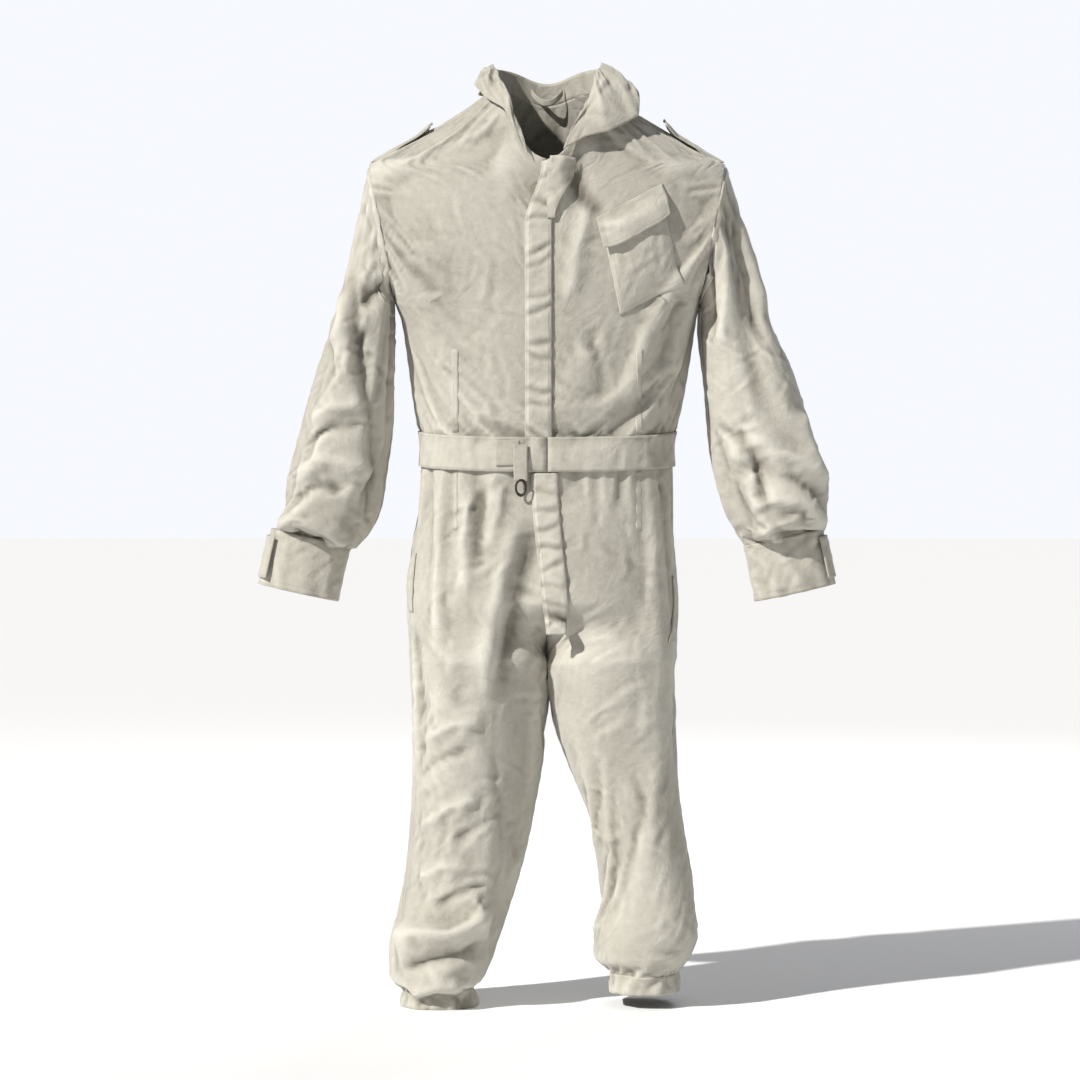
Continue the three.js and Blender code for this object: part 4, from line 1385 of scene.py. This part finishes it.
def bend_line(keys, count):
    """A smooth line of count points through a few key points."""
    keys = np.array(keys, float)
    k = np.concatenate([2 * keys[:1] - keys[1:2], keys, 2 * keys[-1:] - keys[-2:-1]])
    s = np.linspace(0, len(keys) - 1, count)
    i = np.minimum(s.astype(int), len(keys) - 2)
    t = (s - i)[:, None]
    a, b, c, d = k[i], k[i + 1], k[i + 2], k[i + 3]
    return bend_through(a, b, c, d, t)


def over_chest(x, z, out):
    """A place at x and z that stands out from the chest."""
    p = front_point(x, z)
    return (float(p[0]), float(p[1]) - out, float(p[2]))


stand_turn = np.linspace(0.20, 2 * math.pi - 0.20, 141)[None, :]
v = np.linspace(0, 1, 9)[:, None]
from_front = np.minimum(stand_turn, 2 * math.pi - stand_turn)
tall = 0.004 + 0.031 * smooth(from_front, 0.20, 1.0)
stand = collar_place(stand_turn + 0 * v, v * tall - 0.002, -0.005 * v + 0 * stand_turn)
crumpled = 0.0020 * np.sin(13 * stand_turn) * v * (1 - smooth(from_front, 1.4, 2.0))
places = stand + normals_of(stand) * (0.0012 + crumpled)[..., None]
places = crease(places, 40, 70, 40, 0.0010, keep=0.003, seed=80)
collar_cloth = {"slot": "collar_cotton", "thick": 0.0018}
sewn_piece("collar_stand", stand, places, ["collar_stand"], "torso", **collar_cloth)
sewn_edges("torso", places, 0.003, "tb")

fall_turn = np.linspace(1.46, 2 * math.pi - 1.46, 101)[None, :]
v = np.linspace(0, 1, 13)[:, None]
roll = np.sin(np.pi * v**2) * 0.003
fall_out = mix(0.019, -0.002, v) + roll + 0 * fall_turn
fall = collar_place(fall_turn + 0 * v, mix(-0.006, 0.0345, v), fall_out)
places = crease(fall, 30, 80, 40, 0.0010, keep=0.003, seed=81)
sewn_piece("collar_fall_back", fall, places, ["collar_fall_back"], "torso", **collar_cloth)
sewn_edges("torso", places, 0.003, "b")

# The leaves' free edges, from the front of the neck round the point to the shoulder.
leaf_edges = {
    "right": [
        over_chest(-0.030, -0.094, 0.009), over_chest(-0.052, -0.050, 0.012),
        over_chest(-0.066, -0.022, 0.016), over_chest(-0.094, -0.004, 0.014),
        (-0.112, -0.046, 0.018), (-0.108, -0.010, 0.020),
    ],
    "left": [
        over_chest(0.024, -0.086, 0.008), over_chest(0.058, -0.066, 0.012),
        over_chest(0.097, -0.057, 0.015), over_chest(0.140, -0.031, 0.018),
        (0.141, -0.042, 0.007), (0.110, -0.006, 0.024),
    ],
}
leaf_peaks = {"right": 0.006, "left": 0.008}
leaf_crush = {"right": 0.0032, "left": 0.0016}
leaf_creases = {"right": 34, "left": 30}
columns = 44
for name, side in sides.items():
    turns = np.linspace(0.30, 1.47, columns + 1)
    peak = leaf_peaks[name] * np.exp(-(((turns - 1.30) / 0.16) ** 2))
    high = 0.0345 - 0.022 * smooth(-turns, -0.85, -0.30) + peak
    fold_line = collar_place(side * turns, high, np.full(columns + 1, -0.0025))
    keys = np.array(leaf_edges[name])
    run = length_along(keys)
    edge_line = at_lengths(np.linspace(0, run[-1], columns + 1), run, keys)
    edge_line = mix(edge_line, bend_line(leaf_edges[name], columns + 1), 0.25)
    v = np.linspace(0, 1, 17)[:, None, None]
    leaf = mix(edge_line[None], fold_line[None], v)
    if side < 0:
        leaf = leaf[:, ::-1]
    up = np.linspace(0, 1, 17)[:, None]
    along = np.linspace(0, 1, columns + 1)[None, :]
    swell = np.sin(np.pi * up) ** 0.8
    waves = leaf_crush[name] * np.sin(17 * along + 2) * np.sin(3.0 * up)
    places = leaf + normals_of(leaf) * (0.0055 * swell + waves)[..., None]
    places = crease(finer(places), leaf_creases[name], 75, 45, 0.0021, keep=0.003, seed=82)
    key = f"collar_leaf_{name}"
    sewn_piece(key, finer(leaf), places, [key], key, **collar_cloth)
    sewn_edges(key, places, 0.003, "lrb")
    sewn_edges(key, places, 0.0085, "b")

# %% [markdown]
# A narrow tape makes the hanger loop, sewn inside the back of the neck.

# %% Hanger loop
s = np.linspace(-1, 1, 41)
wall = neck_back - 0.009
line = np.stack([0.024 * s, wall - 0.013 * (1 - s**2), 0.016 - 0.018 * (1 - s**2)], -1)
v = np.linspace(-1, 1, 5)[:, None, None]
tape = line[None] + v * np.array([0, 0, 0.0053])
sewn_piece("hanger_loop", tape[:, ::-1], tape[:, ::-1], ["hanger_loop"], "torso", thick=0.0011)

# %% [markdown]
# A strap lies on each shoulder, sewn into the armhole seam and buttoned near the neck.

# %% Shoulder straps
def shoulder_place(side, across, along):
    neck_side = -float(neck_point(np.array(quarter))[2])
    slope = (shoulder[0] - neck_half) / (shoulder[1] - neck_side)
    z = -shoulder[1] + (0.004 + along) / math.hypot(1, slope)
    right, _, front, behind = trunk(-z)
    depth = np.where(across < 0, front, behind)
    share = np.clip(np.abs(across) / depth, 0, 0.999) ** (2 / power)
    x = right * (1 - share) ** (power / 2)
    return np.stack(np.broadcast_arrays(side * x, across, z), -1)


for name, side in sides.items():
    u = np.linspace(-1, 1, 17)[None, :] * side
    v = np.linspace(0, 1, 49)[:, None]
    point = 0.020 - 0.012 * smooth(v, 0.93, 1.0)
    base = shoulder_place(side, u * point, v * 0.119)
    raised = 0.006 if side < 0 else 0.010
    lift = 0.0022 + 0.0028 * smooth(v, 0.1, 0.5) + raised * smooth(v, 0.74, 1)
    lift = lift + 0.0008 * np.sin(4 * u + 9 * v)
    places = crease(patch_points(base, lift, 1, 4), 10, 80, 30, 0.0008, keep=0.004, seed=90)
    strap = f"epaulette_{name}"
    sewn_piece(f"shoulder_strap_{name}", base, places, [strap], strap, thick=0.0018)
    sewn_edges(strap, places, 0.0025)

# %% [markdown]
# Cuffs: a doubled band round each wrist, open at the outer edge behind a lap that
# buttons over it. The sleeve's fullness is caught in the cuff's top seam.

# %% Cuffs and their laps
def cuff_place(side, turn, v, grow=0.0):
    """v is 0 at the cuff's free edge and 1 at its top; grow adds to its half widths."""
    start = 0.590 + cuff_height
    distance = start - v * cuff_height
    x = shoulder[0] - 0.036 + distance * math.sin(arm_tilt)
    z = -shoulder[1] - distance * math.cos(arm_tilt)
    across = (cuff_half[0] + grow) * rounded(np.sin(turn))
    px = side * x + across * math.cos(arm_tilt)
    pz = z + across * side * math.sin(arm_tilt)
    py = -(cuff_half[1] + grow) * rounded(np.cos(turn))
    return np.stack(np.broadcast_arrays(px, py, pz), -1)


for name, side in sides.items():
    outer = side * quarter
    u = np.linspace(0, 1, 121)[None, :]
    v = np.linspace(0, 1, 25)[:, None]
    turn = outer + 0.02 + u * (2 * math.pi - 0.04)
    bulge = 0.0030 + 0.0012 * np.sin(11 * turn + 3 * v) * (1 - v)
    bulge = bulge + 0.0016 * np.sin(5 * turn + 2) * (1 - v)
    base = cuff_place(side, turn + 0 * v, v + 0 * u)
    places = cuff_place(side, turn + 0 * v, v + 0 * u, bulge)
    places = crease(places, 70, 75, 40, 0.0012, keep=0.003, seed=100)
    sewn_piece(f"cuff_{name}", base, places, [f"cuff_{name}"], f"sleeve_{name}", thick=0.0020)
    trees[f"cuff_{name}"] = tree_of([places])
    stitch_rows(f"sleeve_{name}", places, [0.04, 0.12, 0.90, 0.97])
    ends = sorted([outer + side * 0.45, outer - side * 0.75])
    turn = np.linspace(ends[0], ends[1], 31)[None, :]
    v = np.linspace(0.13, 0.87, 17)[:, None]
    front = np.linspace(0, 1, 31)[None, :] if side < 0 else np.linspace(1, 0, 31)[None, :]
    lap_lift = 0.0068 + 0.0025 * smooth(front, 0.3, 0.9) + 0 * v
    base = cuff_place(side, turn + 0 * v, v + 0 * turn)
    places = cuff_place(side, turn + 0 * v, v + 0 * turn, lap_lift)
    places = crease(places, 8, 70, 40, 0.0009, keep=0.004, seed=101)
    lap = f"cuff_tab_{name}"
    sewn_piece(f"cuff_lap_{name}", base, places, [lap], lap, thick=0.0018)
    sewn_edges(lap, places, 0.003)

# %% [markdown]
# Each hem is turned up inside and sewn, so a slightly thicker ring ends the leg.

# %% Hems
for name, side in sides.items():
    u = np.linspace(0, 1, 121)[None, :]
    v = np.linspace(0, 1, 9)[:, None]
    angle = u * 2 * math.pi * side + (0 if side > 0 else math.pi)
    z = mix(-hem_drop[name], -hem_drop[name] + 0.029, v)
    outer, inner, deep, ahead = leg_rows[name](-z)
    wave = 0.0016 * np.sin(9 * angle + side) * (1.2 - v) + 0.0012 * np.sin(5 * angle + 2)
    x = side * ((outer + inner) / 2 + (outer - inner) / 2 * rounded(np.cos(angle)))
    y = -deep * rounded(np.sin(angle)) - ahead
    if side < 0:
        y = -y - 2 * ahead
    base = np.stack(np.broadcast_arrays(x, y, z + 0 * u), -1)
    outward = base[4, 0] - base.mean((0, 1))
    if np.cross(base[4, 1] - base[4, 0], base[5, 0] - base[4, 0]) @ outward < 0:
        base = turned(base)
    places = patch_points(base, 0.0012 + 0.5 * wave, 0, 2)
    places[:, -1] = places[:, 0] = (places[:, 0] + places[:, -1]) / 2
    places = crease(places, 40, 80, 30, 0.0008, keep=0.002, seed=110)
    sewn_piece(f"hem_{name}", base, places, [f"hem_{name}"], f"leg_{name}", thick=0.0018)
    stitch_rows(f"leg_{name}", places, [0.12, 0.88])

# %% [markdown]
# Seams. A flat felled seam is a narrow raised strip with a row of stitches along each
# side. Such strips run over the shoulders, round the armholes, down the sides, the
# legs and the sleeves, and up from and down from the waistband as darts.

# %% Felled seams
def follow(piece, key):
    """The piece rides on the body key; for a sleeve or leg key its place is only baked into its
    mesh.
    """
    if key.startswith("bend_sleeve"):
        bend_sleeve(piece)
    elif key.startswith("bend_leg"):
        bend_leg(piece)
    else:
        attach(piece, key)


def seam_strip(name, grid, u, v, width, key, lift=0.0011):
    """A narrow strip along a line on a panel's grid, given by shares u and v."""
    line, normals = trace(grid, u, v, 400)
    run = length_along(line)
    stops = np.linspace(0, run[-1], max(int(run[-1] / 0.006), 8))
    line, normals = at_lengths(stops, run, line), unit(at_lengths(stops, run, normals))
    across = unit(np.cross(np.gradient(line, axis=0), normals))
    offsets = np.linspace(-0.5, 0.5, 5)[None, :, None] * width
    crown = (lift * np.array([0.25, 0.9, 1, 0.9, 0.25]))[None, :, None]
    puck = 0.0003 * np.sin(stops / 0.0042)[:, None, None]
    places = line[:, None] + across[:, None] * offsets + normals[:, None] * (crown + puck)
    if np.cross(places[3, 1] - places[3, 0], places[4, 0] - places[3, 0]) @ normals[3] < 0:
        places = turned(places)
    follow(cloth_piece(name, places, places, [], band_drill, thick=0.0010), key)
    for share in (0.2, 0.8):
        stitch(key, places, np.full(20, share), np.linspace(0, 1, 20))


def at_x(grid, x, low, high):
    """The share across a front grid whose corners lie at x, for rows from low to high."""
    rows = np.linspace(low, high, 24)
    shares = []
    for row in rows:
        line = sample(grid, np.linspace(0, 1, 60), np.full(60, row))[:, 0]
        order = np.argsort(line)
        shares.append(np.interp(x, line[order], np.linspace(0, 1, 60)[order]))
    return np.array(shares), rows


seam_wide, dart_wide, dart_lift, dart_x = 0.0112, 0.0104, 0.0006, 0.140
armpit_share = float((waist_drop - armpit[1]) / (waist_drop + 0.005))
top_share = float((waist_drop - shoulder[1]) / (waist_drop + 0.005))
for name, side in sides.items():
    chest, leg = panels[f"bodice_front_{name}"], panels[f"trouser_front_{name}"]
    chest, leg = (turned(chest), leg) if side < 0 else (chest, turned(leg))
    sleeve, on_sleeve, on_leg = panels[f"sleeve_{name}"], f"bend_sleeve_{name}", f"bend_leg_{name}"
    outer, inner = (0.0, 1.0) if side < 0 else (1.0, 0.0)
    above, below = at_x(chest, side * dart_x, 0.06, 0.30), at_x(leg, side * dart_x, 0.97, 0.86)
    seam_strip(f"dart_above_{name}", chest, *above, dart_wide, "torso", dart_lift)
    seam_strip(f"dart_below_{name}", leg, *below, dart_wide, "torso", dart_lift)
    seam_strip(f"side_seam_{name}", chest, [outer] * 2, [0.05, armpit_share], seam_wide, "torso")
    seam_strip(f"shoulder_seam_{name}", chest, [outer] * 2, [top_share, 1], seam_wide, "torso")
    seam_strip(f"armhole_seam_{name}", sleeve, [0, 1], [0.987] * 2, seam_wide, "torso", 0.0014)
    seam_strip(f"sleeve_seam_{name}", sleeve, [0, 0], [0.02, 0.95], seam_wide, on_sleeve)
    seam_strip(f"outseam_{name}", leg, [outer] * 2, [0.03, 0.96], seam_wide, on_leg)
    seam_strip(f"inseam_{name}", leg, [inner] * 2, [0.03, 0.60], seam_wide, on_leg)
yoke_share = np.full(30, yoke_row / (back.shape[0] - 1))
seam_strip("yoke_seam", back, np.linspace(0.01, 0.99, 30), yoke_share, 0.0108, "torso")

# %% [markdown]
# Now every line of stitches is known. One mesh of beads is made for each body, lying on
# the cloth, and it follows what it is sewn to.

# %% The thread itself
thread_finish = small_finish("stone_thread", (0.32, 0.30, 0.25), (0.46, 0.43, 0.37), 0.75, 260.0)


def sew_thread(key, lines):
    at, along, up = (np.concatenate([line[k] for line in lines]) for k in range(3))
    across = np.cross(up, along)
    local = bead * np.array([stitch_half, stitch_thick, stitch_thick])
    places = at[:, None] + along[:, None] * local[:, :1] + across[:, None] * local[:, 1:2]
    places = places + up[:, None] * (local[:, 2:] + thread_gap)
    count = len(at)
    faces = [tuple(i * 8 + k for k in face) for i in range(count) for face in bead_faces]
    mesh = bpy.data.meshes.new(f"thread_{key}")
    mesh.from_pydata(places.reshape(-1, 3).tolist(), [], faces)
    mesh.materials.append(thread_finish)
    piece = bpy.data.objects.new(f"thread_{key}", mesh)
    bpy.context.collection.objects.link(piece)
    bpy.ops.object.select_all(action="DESELECT")
    piece.select_set(True)
    bpy.context.view_layer.objects.active = piece
    bpy.ops.object.mode_set(mode="EDIT")
    bpy.ops.mesh.select_all(action="SELECT")
    bpy.ops.mesh.normals_make_consistent(inside=False)
    bpy.ops.object.mode_set(mode="OBJECT")
    follow(piece, key)
    return count


print("stitches", {key: sew_thread(key, lines) for key, lines in threads.items()})

# %% [markdown]
# A four-hole button, modelled once and copied to each place that the frame gives.

# %% Buttons
button_finish = small_finish("stone_button", (0.23, 0.205, 0.165), (0.34, 0.31, 0.255), 0.38, 180.0)


def pattern_button():
    bpy.ops.object.select_all(action="DESELECT")
    bpy.ops.mesh.primitive_cylinder_add(vertices=32, radius=0.0078, depth=0.0022)
    button = bpy.context.object
    bpy.ops.object.mode_set(mode="EDIT")
    bpy.ops.mesh.select_mode(type="FACE")
    bpy.ops.mesh.select_all(action="DESELECT")
    bpy.ops.object.mode_set(mode="OBJECT")
    for face in button.data.polygons:
        face.select = face.normal.z > 0.9
    bpy.ops.object.mode_set(mode="EDIT")
    bpy.ops.mesh.inset(thickness=0.0017, depth=0, use_even_offset=False)
    bpy.ops.mesh.inset(thickness=0.0006, depth=-0.0006, use_even_offset=False)
    bpy.ops.object.mode_set(mode="OBJECT")
    for sx, sy in ((1, 1), (1, -1), (-1, 1), (-1, -1)):
        bpy.ops.object.select_all(action="DESELECT")
        bpy.ops.mesh.primitive_cylinder_add(
            vertices=10, radius=0.00085, depth=0.01, location=(sx * 0.0019, sy * 0.0019, 0)
        )
        drill_bit = bpy.context.object
        cut = button.modifiers.new("Hole", "BOOLEAN")
        cut.object, cut.operation, cut.solver = drill_bit, "DIFFERENCE", "EXACT"
        apply_all(button)
        bpy.data.objects.remove(drill_bit)
    button.data.materials.clear()
    button.data.materials.append(button_finish)
    return button


pattern = pattern_button()
shape = np.zeros(len(pattern.data.vertices) * 3)
pattern.data.vertices.foreach_get("co", shape)
shape = shape.reshape(-1, 3)
bodies = frame["record"]["behaviour"]["bodies"]
body_of_node = {node: body for body, listed in bodies.items() for node in listed}
for node_name, node in list(nodes.items()):
    if "_button_" not in node_name and not node_name.endswith("_button"):
        continue
    corners = np.array([list(node.matrix_world @ vertex.co) for vertex in node.data.vertices])
    centre = (corners.min(0) + corners.max(0)) / 2
    axes = np.linalg.svd(corners - corners.mean(0), full_matrices=False)[2]
    inner = np.array([0.0, 0.0, centre[2] - 0.1])
    below = "body"
    if node_name.startswith("cuff"):
        below = node_name.replace("_button", "")
        inner = np.array([math.copysign(0.385, centre[0]), 0.0, centre[2]])
    elif node_name.startswith("chest"):
        below = "pouch"
    up = axes[2] * math.copysign(1, axes[2] @ (centre - inner))
    hit = trees[below].ray_cast(Vector(centre + up * 0.02), Vector(-up), 0.05)
    if hit[0]:
        centre = np.array(hit[0]) + up * 0.0012
    side_axis = np.cross([0, 0, 1] if abs(up[2]) < 0.8 else [1, 0, 0], up)
    side_axis /= np.linalg.norm(side_axis)
    turn = np.stack([side_axis, np.cross(up, side_axis), up])
    button = pattern.copy()
    button.data = pattern.data.copy()
    button.name = button.data.name = f"four_hole_{node_name}"
    bpy.context.collection.objects.link(button)
    button.data.vertices.foreach_set("co", (shape @ turn + centre).astype(np.float32).ravel())
    button.data.update()
    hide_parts(node_name)
    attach(button, body_of_node[node_name])
bpy.data.objects.remove(pattern)

# %% [markdown]
# The stage is plain: a pale floor under a pale sky, a sun from the upper left, a weak
# fill from the right and a light behind. A long lens keeps the suit's proportions.

# %% Stage, light and camera
floor_z = cad_box[0][2] - 0.002
bpy.ops.object.select_all(action="DESELECT")
bpy.ops.mesh.primitive_plane_add(size=40, location=(0, 8, floor_z))
floor = bpy.context.object
floor.name = "pale_floor"
floor_finish = bpy.data.materials.new("pale_floor")
floor_finish.use_nodes = True
floor_inputs = floor_finish.node_tree.nodes["Principled BSDF"].inputs
floor_inputs["Base Color"].default_value = (0.9, 0.9, 0.9, 1)
floor_inputs["Roughness"].default_value = 0.9
floor.data.materials.append(floor_finish)

world = bpy.data.worlds.new("pale_sky")
bpy.context.scene.world = world
world.use_nodes = True
background = world.node_tree.nodes["Background"]
background.inputs[0].default_value = (0.93, 0.95, 1.0, 1)
# The sky itself looks pale, but it lights the suit only weakly, so folds keep their shade.
sky_light, sky_looks = 0.20, 1.0
seen = world.node_tree.nodes.new("ShaderNodeLightPath")
strength = world.node_tree.nodes.new("ShaderNodeMapRange")
strength.inputs["To Min"].default_value = sky_light
strength.inputs["To Max"].default_value = sky_looks
world.node_tree.links.new(seen.outputs["Is Camera Ray"], strength.inputs["Value"])
world.node_tree.links.new(strength.outputs[0], background.inputs[1])


def area_light(name, place, target, size, power_w, color=(1, 1, 1)):
    light = bpy.data.lights.new(name, "AREA")
    light.size, light.energy, light.color = size, power_w, color
    holder = bpy.data.objects.new(name, light)
    bpy.context.collection.objects.link(holder)
    holder.location = place
    aim = Vector(target) - Vector(place)
    holder.rotation_euler = aim.to_track_quat("-Z", "Y").to_euler()


area_light("fill_light", (3.2, -3.0, 0.2), (0, 0, -0.7), 2.5, 5, (0.86, 0.91, 1.0))
area_light("back_light", (1.5, 3.5, 1.8), (0, 0, -0.6), 2.0, 60)
key = bpy.data.lights.new("key_light", "SUN")
key.energy, key.angle, key.color = 4.6, math.radians(1.5), (1.0, 0.985, 0.955)
key_holder = bpy.data.objects.new("key_light", key)
bpy.context.collection.objects.link(key_holder)
key_holder.rotation_euler = Vector((0.80, 0.64, -0.80)).to_track_quat("-Z", "Y").to_euler()

camera = bpy.data.objects.new("camera", bpy.data.cameras.new("camera"))
bpy.context.collection.objects.link(camera)
bpy.context.scene.camera = camera
distance, elevation, aim = 6.0, math.radians(1.5), Vector((-0.011, 0.0, -0.682))
view_height = 1.674
camera.data.sensor_width = 36
camera.data.lens = 36 * distance / view_height
camera.location = aim + Vector((0, -math.cos(elevation), math.sin(elevation))) * distance
camera.rotation_euler = (aim - camera.location).to_track_quat("-Z", "Y").to_euler()
bpy.context.scene.view_settings.view_transform = "Standard"
print("camera lens", round(camera.data.lens, 1))
